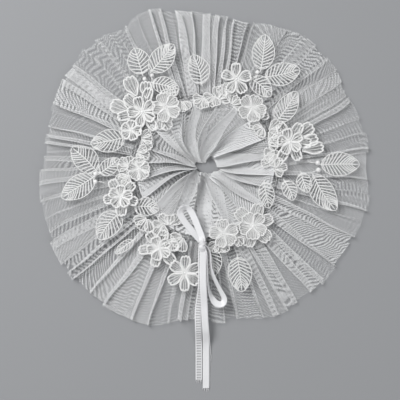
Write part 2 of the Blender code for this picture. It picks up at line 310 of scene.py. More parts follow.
TAILS = {  # points along the middle of each tail: x, y, z
    "tail_right": (
        (-2.3, -70.8, 12.6),
        (-2.0, -72.6, 12.7),
        (-1.6, -75.0, 12.6),
        (-1.7, -84.0, 12.4),
        (-1.8, -96.0, 12.4),
        (-1.5, -108.0, 12.1),
        (-1.1, -115.0, 10.6),
        (-0.7, -122.0, 9.2),
        (-0.3, -131.0, 8.9),
        (0.1, -139.0, 8.7),
        (0.6, -146.0, 7.4),
        (0.9, -152.0, 4.6),
        (1.0, -158.0, 2.0),
        (1.0, -166.0, 0.7),
        (1.0, -178.0, 0.55),
        (1.0, -189.0, 0.55),
        (0.9, -198.0, 0.55),
    ),
    "tail_left": (
        (-3.2, -71.0, 11.8),
        (-3.3, -73.0, 11.4),
        (-3.3, -76.0, 11.0),
        (-3.2, -84.0, 11.0),
        (-3.2, -96.0, 11.0),
        (-3.5, -107.0, 10.8),
        (-4.3, -114.0, 9.0),
        (-5.6, -122.0, 7.6),
        (-6.3, -131.0, 7.4),
        (-6.1, -139.0, 7.3),
        (-5.9, -146.0, 6.0),
        (-5.7, -152.0, 3.0),
        (-5.6, -158.0, 1.2),
        (-5.5, -166.0, 0.6),
        (-5.5, -178.0, 0.55),
        (-5.5, -190.5, 0.55),
    ),
}


class NetSettings(bpy.types.PropertyGroup):
    """The net and how closely it is gathered."""

    cell: bpy.props.FloatProperty(
        name="Cell",
        description="Width of one hexagon of the net",
        default=0.00135,
        unit="LENGTH",
        precision=5,
    )
    thread: bpy.props.FloatProperty(
        name="Thread",
        description="Width of the net's thread",
        default=0.000125,
        unit="LENGTH",
        precision=5,
    )
    colour: bpy.props.FloatVectorProperty(
        name="Colour", description="Colour of the net's thread", default=(0.93, 0.935, 0.94), subtype="COLOR"
    )
    gather_least: bpy.props.FloatProperty(
        name="Least gather",
        description="Cloth over the hem that it covers, in the flattest pleat",
        default=1.04,
    )
    gather_most: bpy.props.FloatProperty(
        name="Most gather",
        description="Cloth over the hem that it covers, in the deepest pleat",
        default=2.0,
    )
    frill_gather: bpy.props.FloatProperty(
        name="Frill gather",
        description="Frill cloth over the length of band that it is sewn to",
        default=1.3,
    )


class LaceSettings(bpy.types.PropertyGroup):
    """The embroidery."""

    edge_thread: bpy.props.FloatProperty(
        name="Edge cord",
        description="Radius of the cord round a leaf or petal",
        default=0.00048,
        unit="LENGTH",
    )
    rib_thread: bpy.props.FloatProperty(
        name="Rib thread", description="Half the width of a rib", default=0.0005, unit="LENGTH"
    )
    rib_pitch: bpy.props.FloatProperty(
        name="Rib pitch", description="From one rib of a leaf to the next", default=0.003, unit="LENGTH"
    )
    colour: bpy.props.FloatVectorProperty(
        name="Colour",
        description="Colour of the embroidery thread",
        default=(0.94, 0.94, 0.93),
        subtype="COLOR",
    )


class RibbonSettings(bpy.types.PropertyGroup):
    """The satin tie."""

    width: bpy.props.FloatProperty(
        name="Width", description="Width of the ribbon", default=0.006, unit="LENGTH"
    )
    thickness: bpy.props.FloatProperty(
        name="Thickness", description="Thickness of the ribbon", default=0.0004, unit="LENGTH"
    )
    colour: bpy.props.FloatVectorProperty(
        name="Colour", description="Colour of the satin", default=(0.84, 0.84, 0.85), subtype="COLOR"
    )


class StageSettings(bpy.types.PropertyGroup):
    """The floor, the lights and the camera."""

    floor: bpy.props.FloatVectorProperty(
        name="Floor", description="Colour of the floor", default=(0.32, 0.325, 0.335), subtype="COLOR"
    )
    view_width: bpy.props.FloatProperty(
        name="View width", description="Width of floor that the picture takes in", default=0.36, unit="LENGTH"
    )
    view_x: bpy.props.FloatProperty(
        name="View X", description="Middle of the picture", default=-0.0045, unit="LENGTH"
    )
    view_y: bpy.props.FloatProperty(
        name="View Y", description="Middle of the picture", default=-0.0288, unit="LENGTH"
    )
    key: bpy.props.FloatProperty(
        name="Key light", description="Power of the main softbox", default=31.0, unit="POWER"
    )
    fill: bpy.props.FloatProperty(
        name="Fill light", description="Power of the softbox opposite", default=7.0, unit="POWER"
    )
    sky: bpy.props.FloatProperty(
        name="Room light", description="Strength of the even light from all round", default=0.3
    )


TURN = 2 * math.pi


class Value:
    """A shader socket that takes part in Python's arithmetic, each sign adding its Math node."""

    def __init__(self, finish, socket):
        self.finish = finish
        self.socket = socket

    def math(self, operation, *others):
        inputs = dict(enumerate((self, *others)))
        return self.finish.node("ShaderNodeMath", {"operation": operation}, inputs)

    def __add__(self, other):
        return self.math("ADD", other)

    __radd__ = __add__

    def __sub__(self, other):
        return self.math("SUBTRACT", other)

    def __rsub__(self, other):
        return self.finish.node("ShaderNodeMath", {"operation": "SUBTRACT"}, {0: other, 1: self})

    def __mul__(self, other):
        return self.math("MULTIPLY", other)

    __rmul__ = __mul__

    def __truediv__(self, other):
        return self.math("DIVIDE", other)

    def __mod__(self, other):
        return self.math("FLOORED_MODULO", other)

    def __gt__(self, other):
        return self.math("GREATER_THAN", other)

    def __abs__(self):
        return self.math("ABSOLUTE")

    def sine(self):
        return self.math("SINE")

    def least(self, other):
        return self.math("MINIMUM", other)

    def most(self, other):
        return self.math("MAXIMUM", other)


class Finish:
    """One material: its Principled shader, and the nodes that feed it."""

    def __init__(self, name):
        self.material = bpy.data.materials.new(name)
        self.material.use_nodes = True
        self.tree = self.material.node_tree
        self.shader = self.tree.nodes["Principled BSDF"]

    def node(self, kind, settings=None, inputs=None, output=0):
        """A node of this kind: its settings first, then the values or links of its sockets."""
        made = self.tree.nodes.new(kind)
        for key, value in (settings or {}).items():
            setattr(made, key, value)
        for key, value in (inputs or {}).items():
            self.feed(made.inputs[key], value)
        return Value(self, made.outputs[output])

    def feed(self, socket, value):
        if isinstance(value, Value):
            self.tree.links.new(value.socket, socket)
        else:
            socket.default_value = value

    def set(self, **sockets):
        """Sets or links the Principled shader's sockets, with _ for the spaces in their names."""
        for name, value in sockets.items():
            self.feed(self.shader.inputs[name.replace("_", " ")], value)
        return self.material

    def halves(self, vector):
        """A vector's first and second numbers."""
        parts = self.node("ShaderNodeSeparateXYZ", inputs={0: vector})
        return parts, Value(self, parts.socket.node.outputs[1])

    def cut(self):
        """The place on the cloth, along and across, in metres."""
        return self.halves(self.node("ShaderNodeUVMap", {"uv_map": CUT_MAP}))

    def noise(self, place, scale, detail, output=0):
        """Noise from 0 to 1 by a place, or with output 1 three such numbers as a vector."""
        inputs = {"Vector": place, "Scale": scale, "Detail": detail}
        return self.node("ShaderNodeTexNoise", inputs=inputs, output=output)

    def grain(self, scale, detail=2.0):
        """Noise from 0 to 1 through the piece's own space."""
        return self.noise(self.node("ShaderNodeTexCoord", output=3), scale, detail)

    def wave(self, place, length):
        """A wave from 0 to 1, with this length between its crests."""
        return (place * (TURN / length)).sine() * 0.5 + 0.5

    def tint(self, dark, light, share):
        """A colour between two, by a share."""
        inputs = {0: share, 6: (*dark, 1), 7: (*light, 1)}
        return self.node("ShaderNodeMix", {"data_type": "RGBA"}, inputs, output=2)

    def bump(self, height, strength, distance, facing=None):
        inputs = {"Height": height, "Strength": strength, "Distance": distance}
        if facing:
            inputs["Normal"] = facing
        return self.node("ShaderNodeBump", inputs=inputs)


def hexagons(along, across, cell):
    """How far a point lies from the middle of its hexagon, 0.5 at the edges, in a net of this cell."""
    tall = math.sqrt(3)
    along, across = along / cell, across / cell
    nearest = None
    for shift in (0.0, 0.5):
        x = abs((along + shift) % 1.0 - 0.5)
        y = abs((across + shift * tall) % tall - tall / 2)
        from_middle = x.most(x * 0.5 + y * (tall / 2))
        nearest = from_middle if nearest is None else nearest.least(from_middle)
    return nearest


PULL = 0.0045  # how far the gathers draw the net out of true, in metres
PULL_SCALE = 26.0  # how often they do, to a metre
RIPPLE = 0.0035  # from one ripple to the next, where they run straight across
FINEST = 0.72  # the finest panel's ripples, as a share of that
COARSER = 0.5  # and what the coarsest panel's have more
SLOPE = 2.6  # how unlike the ripples' slopes are from panel to panel
BEND = 0.014  # from one bend of a ripple to the next
ZIGZAG = 3.6  # twice how many ripples high the sharpest bends are
STRAY = 2.0  # how far bends and fine gathers stray, as a share of the way to the next
SWIRL = 7.0  # how many ripples wide they wander
SWIRL_ALONG = 42.0  # how fast they wander along the cloth, to a metre
SWIRL_ACROSS = 30.0  # and across it
SWIRL_PANEL = 9.0  # how unlike they wander from panel to panel
FLAT_TOPS = 1.5  # above 1, a ripple is as bright over part of its width
FAINTEST = 0.25  # how strong the faintest panel's ripples are
STRONGER = 1.2  # what the strongest panel's would have more, if they didn't stop at 1
OPEN_THREAD = 0.62  # the thread that shows in the most open panel, as a share of the net's own
CLOSE_THREAD = 1.35  # what the closest panel has more
CREASE_THREAD = 2.6  # what a fold adds to the thread that shows
CREASE_HIGHLIGHT = 0.7  # and to its whiteness: a painted highlight along the fold
LINE_HALF = 0.0004  # half the width of the fine gathers that run out over a panel
LINE_THREAD = 1.1  # what they add to the thread that shows
LINE_SCALE = 11.0  # how often they stray, to a metre
ALL_ROUND = 2.5  # how far the net's threads face up whichever way the net lies, as they catch light all round

# A panel's number times one of these, without its whole part, is a number of the panel's own
OWN_SLOPE = 7.3
OWN_PITCH = 11.3
OWN_STRENGTH = 17.7
OWN_LINES = 5.1


def own(panel, factor):
    return (panel * factor) % 1.0


def from_line(place, pitch, stray):
    """How far a place lies from the nearest of the lines a pitch apart, from 0 to 0.5 of the pitch."""
    return abs((place / pitch + stray * STRAY) % 1.0 - 0.5)


def ripples(finish, along, across, panel, pitch):
    """The ripples seen where two nets cross, from -1 to 1: they slope and bend unlike in each panel."""
    spot = {0: along * SWIRL_ALONG, 1: across * SWIRL_ACROSS, 2: panel * SWIRL_PANEL}
    swirl = finish.noise(finish.node("ShaderNodeCombineXYZ", inputs=spot), 1.0, 1.5)
    slope = own(panel, OWN_SLOPE)
    bend = from_line(along, BEND, swirl) * slope * ZIGZAG
    fine = (own(panel, OWN_PITCH) * COARSER + FINEST) * pitch
    run = (across + along * (slope - 0.5) * SLOPE) / fine + bend + swirl * SWIRL
    return ((run * TURN).sine() * FLAT_TOPS).least(1.0).most(-1.0)


def net_finish(name, turn, stretch=1.0, thread_share=1.0, shimmer=0.9, pitch=RIPPLE, lines=0.012):
    """Fine hexagonal net: white thread, and nothing in the holes. Its mesh is turned by degrees and
    stretched on the cloth, and drawn out of true by the gathers. Its thread shows in ripples a pitch apart,
    as where one net lies over another, and closer at the folds and in fine gathers, lines metres apart."""
    net = bpy.context.scene.collar_net
    finish = Finish(name)
    place = finish.node("ShaderNodeUVMap", {"uv_map": CUT_MAP})
    place = finish.node("ShaderNodeVectorMath", {"operation": "ADD"}, {0: place, 1: (turn, stretch, 0)})
    pull_along, pull_across = finish.halves(finish.noise(place, PULL_SCALE, 1.0, output=1))
    along, across = finish.cut()
    crease, panel = finish.halves(finish.node("ShaderNodeUVMap", {"uv_map": FOLD_MAP}))
    ripple = ripples(finish, along, across, panel, pitch)
    strength = (own(panel, OWN_STRENGTH) * STRONGER + FAINTEST).least(1.0)
    cover = panel * panel * CLOSE_THREAD + OPEN_THREAD
    shown = (ripple * strength * shimmer + 1) * cover + crease * CREASE_THREAD
    line = 1 - (from_line(along, lines, finish.noise(place, LINE_SCALE, 1.0)) > LINE_HALF / lines)
    shown = shown + line * own(panel, OWN_LINES) * LINE_THREAD
    along = along + pull_along * PULL
    across = across * stretch + pull_across * PULL
    lean = math.radians(turn)
    rows = along * math.cos(lean) + across * math.sin(lean)
    columns = across * math.cos(lean) - along * math.sin(lean)
    reach = hexagons(rows, columns, net.cell)
    on_thread = reach > 0.5 - shown * (thread_share * net.thread / net.cell / 2)
    # Colour: random tone, and a painted highlight that whitens the net along its folds
    white = (finish.grain(60.0) * 0.5 + crease * CREASE_HIGHLIGHT).least(1.0)
    facing = finish.node("ShaderNodeNewGeometry", output=1)
    facing = finish.node("ShaderNodeVectorMath", {"operation": "ADD"}, {0: facing, 1: (0, 0, ALL_ROUND)})
    facing = finish.node("ShaderNodeVectorMath", {"operation": "NORMALIZE"}, {0: facing})
    return finish.set(
        Base_Color=finish.tint([0.88 * c for c in net.colour], net.colour, white),
        Alpha=on_thread,
        Roughness=0.6,
        Sheen_Weight=0.2,
        Normal=finish.bump(reach, strength=0.3, distance=0.0005, facing=facing),
    )


WEAVE = 0.00042  # from one thread of the sheer ground to the next
WEAVE_OPEN = 0.36  # half of the share of that which lies open


def ground_finish(name, ground, painted_shade=0.95):
    """The sheer woven ground inside the leaves and petals. ground is how much its threads hide, and the last
    argument how far its colour is darkened, a painted shade: deepest where the petals crowd over the casing
    and in the sprays.
    """
    lace = bpy.context.scene.collar_lace
    finish = Finish(name)
    along, across = finish.cut()
    warp = abs((along / WEAVE) % 1.0 - 0.5)
    weft = abs((across / WEAVE) % 1.0 - 0.5)
    threads = warp.most(weft) > WEAVE_OPEN
    # Both tones are scaled down by the painted shade
    dark, light = ([share * c for c in lace.colour] for share in (0.95 * painted_shade, painted_shade))
    return finish.set(
        Base_Color=finish.tint(dark, light, finish.grain(90.0)),
        Alpha=threads * ground,
        Roughness=0.5,
        Sheen_Weight=0.3,
    )


def thread_finish(name, strands):
    """Embroidery thread with a soft shine. strands is the length of cord, in millimetres, in which it winds
    once round."""
    lace = bpy.context.scene.collar_lace
    finish = Finish(name)
    along, across = finish.cut()
    wound = finish.wave(along / strands + across, 1.0)
    return finish.set(
        Base_Color=finish.tint([0.90 * c for c in lace.colour], lace.colour, wound),
        Roughness=0.48,
        Sheen_Weight=0.35,
        Normal=finish.bump(wound, strength=0.5, distance=0.0001),
    )


WARP = 0.00035  # from one warp thread of the ribbon to the next
RIB = 0.0012  # from one of its faint cross ribs to the next
RUNG = 0.0024  # and from one cross rib of the sheer tail to the next
SELVEDGE = 0.0021  # how far from the sheer tail's middle its close edge begins


def satin_finish(name):
    """Satin ribbon: fine warp lines along it, a soft shine and faint cross ribs."""
    ribbon = bpy.context.scene.collar_ribbon
    finish = Finish(name)
    along, across = finish.cut()
    warp = finish.wave(across, WARP)
    ribs = finish.wave(along, RIB)
    cloudy = finish.grain(140.0)
    return finish.set(
        Base_Color=finish.tint([0.93 * c for c in ribbon.colour], ribbon.colour, warp * 0.5 + cloudy * 0.5),
        Roughness=cloudy * 0.12 + 0.26,
        Sheen_Weight=0.15,
        Normal=finish.bump(warp * 0.6 + ribs * 0.4, strength=0.35, distance=0.00012),
    )


def sheer_satin_finish():
    """The underside of the ribbon, which the left tail shows: sheer between cross ribs, with close edges."""
    ribbon = bpy.context.scene.collar_ribbon
    finish = Finish("sheer_satin")
    along, across = finish.cut()
    rung = finish.wave(along, RUNG)
    cover = (rung * 0.5 + 0.3).most(abs(across) > SELVEDGE)
    return finish.set(
        Base_Color=finish.tint([0.93 * c for c in ribbon.colour], ribbon.colour, finish.wave(across, WARP)),
        Alpha=cover,
        Roughness=0.42,
        Sheen_Weight=0.15,
        Normal=finish.bump(rung, strength=0.4, distance=0.0002),
    )


def floor_finish():
    """Matt paper, all but even."""
    stage = bpy.context.scene.collar_stage
    finish = Finish("pale_paper")
    mottle = finish.grain(9.0, 3.0)
    return finish.set(
        Base_Color=finish.tint([0.985 * c for c in stage.floor], stage.floor, mottle),
        Roughness=0.92,
        Normal=finish.bump(finish.grain(900.0), strength=0.04, distance=0.0002),
    )


UP = Vector((0, 0, 1))
CORD_END = 0.35  # how thick a cord is at its two ends, as a share of the rest
DOME_TOP = 0.01  # a dome's topmost ring, as a share of its radius
MERGED = 1e-7  # points nearer than this are one, in metres


class Cloth:
    """The points, faces, finishes and cut places of one piece, gathered before its mesh is made."""

    def __init__(self):
        self.points = []
        self.faces = []
        self.finishes = []
        self.cut = []
        self.folds = []

    def grid(self, rows, cut, finish=0, folds=None):
        """A sheet through rows of points, with each point's place on the cut cloth, and for net how near a
        fold it lies and its panel's number."""
        start = len(self.points)
        columns = len(rows[0])
        for i, (row, places) in enumerate(zip(rows, cut)):
            self.points += row
            self.cut += places
            self.folds += folds[i] if folds else [(0.0, 0.5)] * columns
        for i in range(len(rows) - 1):
            for j in range(columns - 1):
                a = start + i * columns + j
                self.faces.append((a, a + 1, a + columns + 1, a + columns))
                self.finishes.append(finish)

    def tube(self, route, radius, sides=6, finish=0, flat=1.0, closed=False):
        """A cord along a route. flat is its height as a share of its width. It tapers to its two ends, and a
        closed one runs back to its start."""
        rows, cut = [], []
        run = 0.0
        count = len(route)
        last = count if closed else count - 1
        for index in range(last + 1):
            point = route[index % count]
            if index:
                run += (point - route[index - 1]).length
            before = route[index - 1] if closed or index else point
            after = route[(index + 1) % count] if closed or index < last else point
            ahead = (after - before).normalized()
            side = ahead.cross(UP)
            side = side.normalized() if side.length > 1e-6 else Vector((1, 0, 0))
            up = side.cross(ahead)
            wide = radius * (CORD_END if index in (0, last) and not closed else 1.0)
            ring, places = [], []
            for k in range(sides + 1):
                turn = TURN * k / sides
                ring.append(point + side * (wide * math.cos(turn)) + up * (wide * flat * math.sin(turn)))
                places.append((run, k / sides))
            rows.append(ring)
            cut.append(places)
        self.grid(rows, cut, finish)

    def dome(self, centre, radius, height, sides=12, rings=4, finish=0):
        """A small round boss, open only at its flat underside."""
        rows, cut = [], []
        for i in range(rings + 1):
            lean = math.pi / 2 * i / rings
            ring, places = [], []
            for k in range(sides + 1):
                turn = TURN * k / sides
                wide = max(radius * math.cos(lean), radius * DOME_TOP)
                place = Vector((wide * math.cos(turn), wide * math.sin(turn), height * math.sin(lean)))
                ring.append(centre + place)
                places.append((radius * lean, k / sides))
            rows.append(ring)
            cut.append(places)
        self.grid(rows, cut, finish)

    def make(self, name, materials, slot, replaces=()):
        """The finished piece, in metres, riding on the collar."""
        mesh = bpy.data.meshes.new(name)
        mesh.from_pydata([p * MM for p in self.points], [], self.faces)
        for material in materials:
            mesh.materials.append(material)
        mesh.polygons.foreach_set("material_index", self.finishes)
        corners = [loop.vertex_index for loop in mesh.loops]
        for name_of_map, values in ((CUT_MAP, self.cut), (FOLD_MAP, self.folds)):
            layer = mesh.uv_layers.new(name=name_of_map)
            layer.uv.foreach_set("vector", [part for corner in corners for part in values[corner]])
        bm = bmesh.new()
        bm.from_mesh(mesh)
        bmesh.ops.remove_doubles(bm, verts=bm.verts, dist=MERGED)
        bm.to_mesh(mesh)
        bm.free()
        mesh.shade_smooth()
        obj = bpy.data.objects.new(name, mesh)
        bpy.context.collection.objects.link(obj)
        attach(obj, BODY)
        if replaces:
            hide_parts(*replaces)
        return obj


def soft_noise(x, y, z=0.0):
    return noise.noise(Vector((x, y, z)))


def round_table(table, degrees):
    """A value read between the rows of a table that goes once round."""
    degrees %= 360
    last = table[-1]
    previous = (last[0] - 360, last[1])
    for row in (*table, (table[0][0] + 360, table[0][1])):
        if degrees <= row[0]:
            share = (degrees - previous[0]) / (row[0] - previous[0])
            return previous[1] + (row[1] - previous[1]) * share
        previous = row
    return previous[1]


def between(table, place):
    """The other columns of a table, read between its rows."""
    for low, high in zip(table, table[1:]):
        if place <= high[0]:
            share = (place - low[0]) / (high[0] - low[0])
            return [a + (b - a) * share for a, b in zip(low[1:], high[1:])]
    return list(table[-1][1:])


def smooth_route(points, steps):
    """A smooth curve through the points, with this many steps between each two."""
    points = [Vector(p) for p in points]
    ends = [points[0] * 2 - points[1], *points, points[-1] * 2 - points[-2]]
    route = []
    for a, b, c, d in zip(ends, ends[1:], ends[2:], ends[3:]):
        for step in range(steps):
            t = step / steps
            bend = (2 * a - 5 * b + 4 * c - d) * t * t + (3 * b - a - 3 * c + d) * t**3
            route.append(b + ((c - a) * t + bend) / 2)
    return [*route, points[-1]]


def standing_route(points, steps):
    """A smooth route through x, y, z and stand, and how far the ribbon stands at each of its points."""
    stands = smooth_route([(point[3], 0, 0) for point in points], steps)
    return smooth_route([point[:3] for point in points], steps), [stand.x for stand in stands]


class Pleat:
    """One pleat round the collar: where it folds, how it lies and how much cloth it takes, in millimetres."""

    def __init__(self, middle, width, height, step, cloth, lean, most, drift):
        self.middle = middle  # degrees, the middle of its hidden flap
        self.width = width  # degrees
        self.height = height  # share of the rise
        self.step = step  # how far its hem lies outside the outline
        self.cloth = cloth
        self.lean = lean  # 1 or -1, the way its fold lies
        self.most = most  # the flap's greatest width, as a share of the pleat's
        self.drift = drift  # how far its fold strays by the far edge, in degrees
        self.pressed = False  # whether its folds are pressed flat, and its panel runs on from the one before
        self.tone = None  # the number of the panel after its flap, or any

    def flap(self, radius):
        """Half the width of the hidden flap at a radius, in degrees."""
        covered = radius * math.radians(self.width)
        width = min(max((self.cloth - covered) / 2, LEAST_FLAP * covered), self.most * covered)
        return math.degrees(width / radius) / 2


NOSE = (0.0, 0.3, 0.9, 1.8)  # how far from a fold the cloth's first points lie, in millimetres
LONG_RUN = 4  # steps over the flat middle of the part that shows
SHORT_RUN = 2  # and of the flap
LEAST_FLAP = 0.02  # a flap's least width, as a share of the pleat's
STEEPEST = 0.9  # the share of a stretch of cloth that rises to its fold, at most
LAY = 0.5  # how far a pleat rises from its hidden edge to its open one
CREASE = 0.7  # how far from a fold its thread lies closer
PRESSED = 0.5  # what is left of the rise of a fold that is pressed flat
PRESSED_SHARE = 0.34  # of the ruffle's pleats

Fold = collections.namedtuple("Fold", "angle opening height laid sharp")
Step = collections.namedtuple("Step", "angle lay height place hem crease panel")


def run_shares(width, middle):
    """Places on the way from one fold to the next, as shares of it, close together beside the folds."""
    near = [min(d / width, 0.4 * d / NOSE[-1]) for d in NOSE]
    flat = [near[-1] + (1 - 2 * near[-1]) * k / middle for k in range(1, middle)]
    return [*near, *flat, *(1 - share for share in near[:0:-1])]


def fold_steps(pleats, radius, share, ridge):
    """One row of pleated cloth, share being how far out it lies. The cloth lies flat between its folds and
    rises to each open one over the last stretch, the ridge. A flap goes back under the part that shows."""
    folds = []
    laid = 0.0
    for pleat in pleats:
        flap = pleat.flap(radius)
        middle = pleat.middle + pleat.drift * share
        sharp = PRESSED if pleat.pressed else 1.0
        folds.append(Fold(middle + flap, (pleat.lean > 0) * sharp, pleat.height, laid, sharp))
        folds.append(Fold(middle - flap, (pleat.lean < 0) * sharp, pleat.height, laid, sharp))
        laid += pleat.cloth
    folds.append(folds[0]._replace(angle=folds[0].angle + 360, laid=laid))
    tones = random.Random(len(pleats))
    panel = 0.5
    steps = []
    for number, pleat in enumerate(pleats):
        start, turn, end = folds[2 * number : 2 * number + 3]
        hems = (pleat.step, pleats[(number + 1) % len(pleats)].step)
        short, long = (radius * math.radians(abs(fold.angle - turn.angle)) for fold in (start, end))
        for low, high, count, run, before, is_flap in (
            (start, turn, SHORT_RUN, short, 0.0, True),
            (turn, end, LONG_RUN, long, short, False),
        ):
            tone = tones.random()
            if not is_flap and pleat.tone:
                panel = pleat.tone
            elif not pleat.pressed:
                panel = tone
            for t in run_shares(run, count):
                height = crease = 0.0
                for fold, away in ((low, t), (high, 1 - t)):
                    slope = max(0, 1 - away * run / min(ridge, STEEPEST * run))
                    rise = fold.opening * fold.height * slope**2
                    height += rise * (1 - away) if is_flap else rise
                    if fold.sharp == 1.0:
                        crease = max(crease, 1 - away * run / CREASE)
                steps.append(
                    Step(
                        angle=low.angle + (high.angle - low.angle) * t,
                        lay=low.opening * (1 - t) + high.opening * t,
                        height=height,
                        place=start.laid + (before + run * t) / (short + long) * pleat.cloth,
                        hem=hems[0] * (1 - t) + hems[1] * t if is_flap else hems[1],
                        crease=crease,
                        panel=panel,
                    )
                )
    first = steps[0]
    steps.append(first._replace(angle=first.angle + 360, place=laid))
    return steps


def pleat_edges():
    """The angles between the ruffle's pleats: the marked ones keep their place, the others share the rest."""
    rng = random.Random(RUFFLE_SEED)
    fixed = []
    for middle, width, _ in MARKED_PLEATS:
        half = math.degrees(width / round_table(HEM, middle)) / 2
        fixed.append((middle - half, middle + half))
    free = 360 - sum(high - low for low, high in fixed)
    spare = RUFFLE_PLEATS - len(fixed)
    edges = []
    for index, (low, high) in enumerate(fixed):
        edges.append(low)
        following = fixed[(index + 1) % len(fixed)][0] + (360 if index == len(fixed) - 1 else 0)
        count = max(1, round(spare * (following - high) / free))
        widths = [rng.uniform(0.55, 1.45) for _ in range(count)]
        place = high
        for width in widths:
            edges.append(place)
            place += width * (following - high) / sum(widths)
    return edges


def lean_at(degrees):
    """1 or -1: the way that the pleats lie at an angle."""
    changes = sum(degrees % 360 >= change for change in LEAN_CHANGES)
    return 1 if changes % 2 else -1


GATHER_BIAS = 2.3  # above 1, more pleats are shallow than deep
WIDEST_FLAP = 3.0  # a flap's greatest width, as a share of the pleat's
WIDEST_FRILL_FLAP = 5.0  # and in the frill
TURNED_FLAP = 0.4  # and where the pleats change the way they lie
SWEEP = 3.2  # how far the ruffle's folds stray together by the hem, in degrees
SWEEP_LENGTH = 34  # from one stretch of them to another that strays unlike, in degrees


def ruffle_pleats():
    net = bpy.context.scene.collar_net
    rng = random.Random(RUFFLE_SEED + 1)
    looks = random.Random(RUFFLE_SEED + 2)
    edges = pleat_edges()
    pleats = []
    tones = []
    for start, end in zip(edges, edges[1:] + [edges[0] + 360]):
        width = end - start
        height = rng.uniform(LOWEST_CREST, 1.0)
        lean = rng.uniform(0.5, 0.84)
        step = rng.uniform(-HEM_STEP, HEM_STEP)
        middle = start + (VALLEY_SHARE + (1 - VALLEY_SHARE) * lean) * width
        covered = math.radians(width) * round_table(HEM, middle)
        marked = [row[1:] for row in MARKED_PLEATS if start < row[0] < end]
        depth = looks.random()
        gather = net.gather_least + (net.gather_most - net.gather_least) * depth**GATHER_BIAS
        if marked:
            gather = net.gather_least if marked[0][0] > MARKED_NARROW else MARKED_GATHER
        drift = looks.uniform(-0.3, 0.3) * width + SWEEP * soft_noise(middle / SWEEP_LENGTH, 0.4)
        cloth = gather * covered
        pleats.append(Pleat(middle, width, height, step, cloth, lean_at(middle), WIDEST_FLAP, drift))
        pleats[-1].pressed = depth < PRESSED_SHARE and not (len(pleats) > 1 and pleats[-2].pressed)
        tones.append(marked[0][1] if marked else None)
    for before, pleat, tone in zip([pleats[-1], *pleats], pleats, tones):
        if before.lean != pleat.lean:
            before.most = pleat.most = TURNED_FLAP
            pleat.pressed = False
        if tone:
            before.tone = tone
            before.pressed = pleat.pressed = False
    for low, high, tone in BROAD_PANELS:
        broad = [pleat for pleat in pleats if low < pleat.middle % 360 < high]
        for pleat in broad:
            pleat.tone = tone
            pleat.pressed = pleat is not broad[0]
    return pleats


RUFFLE_ROWS = 26
ROW_BIAS = 0.9  # below 1, the rows lie closer by the hem
RUFFLE_DEPTH = 80  # of its cloth, from the band to the hem
RUFFLE_FLOOR = 0.25
LOWEST = 0.12  # the least height of any of its points
RUFFLE_RISE_AT_BAND = 2.6
RUFFLE_RISE_AT_HEM = 2.4
RUFFLE_RIDGE = 3.4
LAYER_STEP = 2.6  # from the lower net up to the upper
WANDER = 1.1  # how far the fold lines waver, in degrees
CRUMPLE = 0.25  # how far the net lies above or below an even fold
CRUMPLE_LENGTH = 5
LAYER_SHIFT = 0.3  # how far the upper layer's folds lie beside the lower's, in degrees


def ruffle_sheet(pleats, level):
    """One net layer of the ruffle: its points, their places on the strip that was gathered, and its folds."""
    rows, cut, folds = [], [], []
    start = BAND_OUTER + SEAM
    outline = hem_outline(pleats)
    xs = [r * math.cos(math.radians(a)) for a, r in outline]
    ys = [r * math.sin(math.radians(a)) for a, r in outline]
    off = ((min(xs) + max(xs)) / 2, (min(ys) + max(ys)) / 2)
    for i in range(RUFFLE_ROWS):
        share = (i / (RUFFLE_ROWS - 1)) ** ROW_BIAS
        depth = start + RUFFLE_DEPTH * share
        rise = RUFFLE_RISE_AT_BAND + (RUFFLE_RISE_AT_HEM - RUFFLE_RISE_AT_BAND) * share
        floor = RUFFLE_FLOOR + level * LAYER_STEP
        row, places = [], []
        steps = fold_steps(pleats, depth, share, RUFFLE_RIDGE)
        for step in steps:
            way = Vector((math.cos(math.radians(step.angle)), math.sin(math.radians(step.angle))))
            stray = WANDER * share * soft_noise(*(way * 5), depth / 30) + LAYER_SHIFT * level * share
            radius = start + (round_table(HEM, step.angle) + step.hem - start) * share
            turn = math.radians(step.angle + stray)
            x = radius * math.cos(turn) - off[0] * share
            y = radius * math.sin(turn) - off[1] * share
            crumple = CRUMPLE * share * soft_noise(x / CRUMPLE_LENGTH, y / CRUMPLE_LENGTH, 3.0 * level)
            z = floor + LAY * step.lay + rise * step.height + crumple
            row.append(Vector((x, y, max(z, LOWEST))))
            places.append((step.place * MM, depth * MM))
        rows.append(row)
        cut.append(places)
        folds.append([(step.crease, step.panel) for step in steps])
    return rows, cut, folds


def hem_outline(pleats):
    """The hem's angle and radius at each pleat's edges."""
    outline = []
    for edge, pleat in zip(pleat_edges(), pleats):
        outline.append((edge, round_table(HEM, edge) + pleat.step))
        outline.append((edge + VALLEY_SHARE * pleat.width, round_table(HEM, edge) + pleat.step))
    return outline


FRILL_LEANS = (20, 200)  # between these degrees its folds lie one way, and elsewhere the other


def frill_pleats():
    net = bpy.context.scene.collar_net
    rng = random.Random(FRILL_SEED)
    looks = random.Random(FRILL_SEED + 1)
    widths = [rng.uniform(0.75, 1.25) for _ in range(FRILL_FOLDS)]
    pleats = []
    start = 0.0
    for width in widths:
        wide = 360 * width / sum(widths)
        height = rng.uniform(0.78, 1.0)
        cloth = net.frill_gather * looks.uniform(0.7, 1.6) * math.radians(wide) * BAND_INNER
        lean = 1 if FRILL_LEANS[0] < start < FRILL_LEANS[1] else -1
        step = looks.uniform(-1, 1)
        drift = looks.uniform(-5, 5)
        pleats.append(Pleat(start + wide * 0.6, wide, height, step, cloth, lean, WIDEST_FRILL_FLAP, drift))
        start += wide
    for before, pleat in zip([pleats[-1], *pleats], pleats):
        if before.lean != pleat.lean:
            before.most = pleat.most = TURNED_FLAP
    return pleats


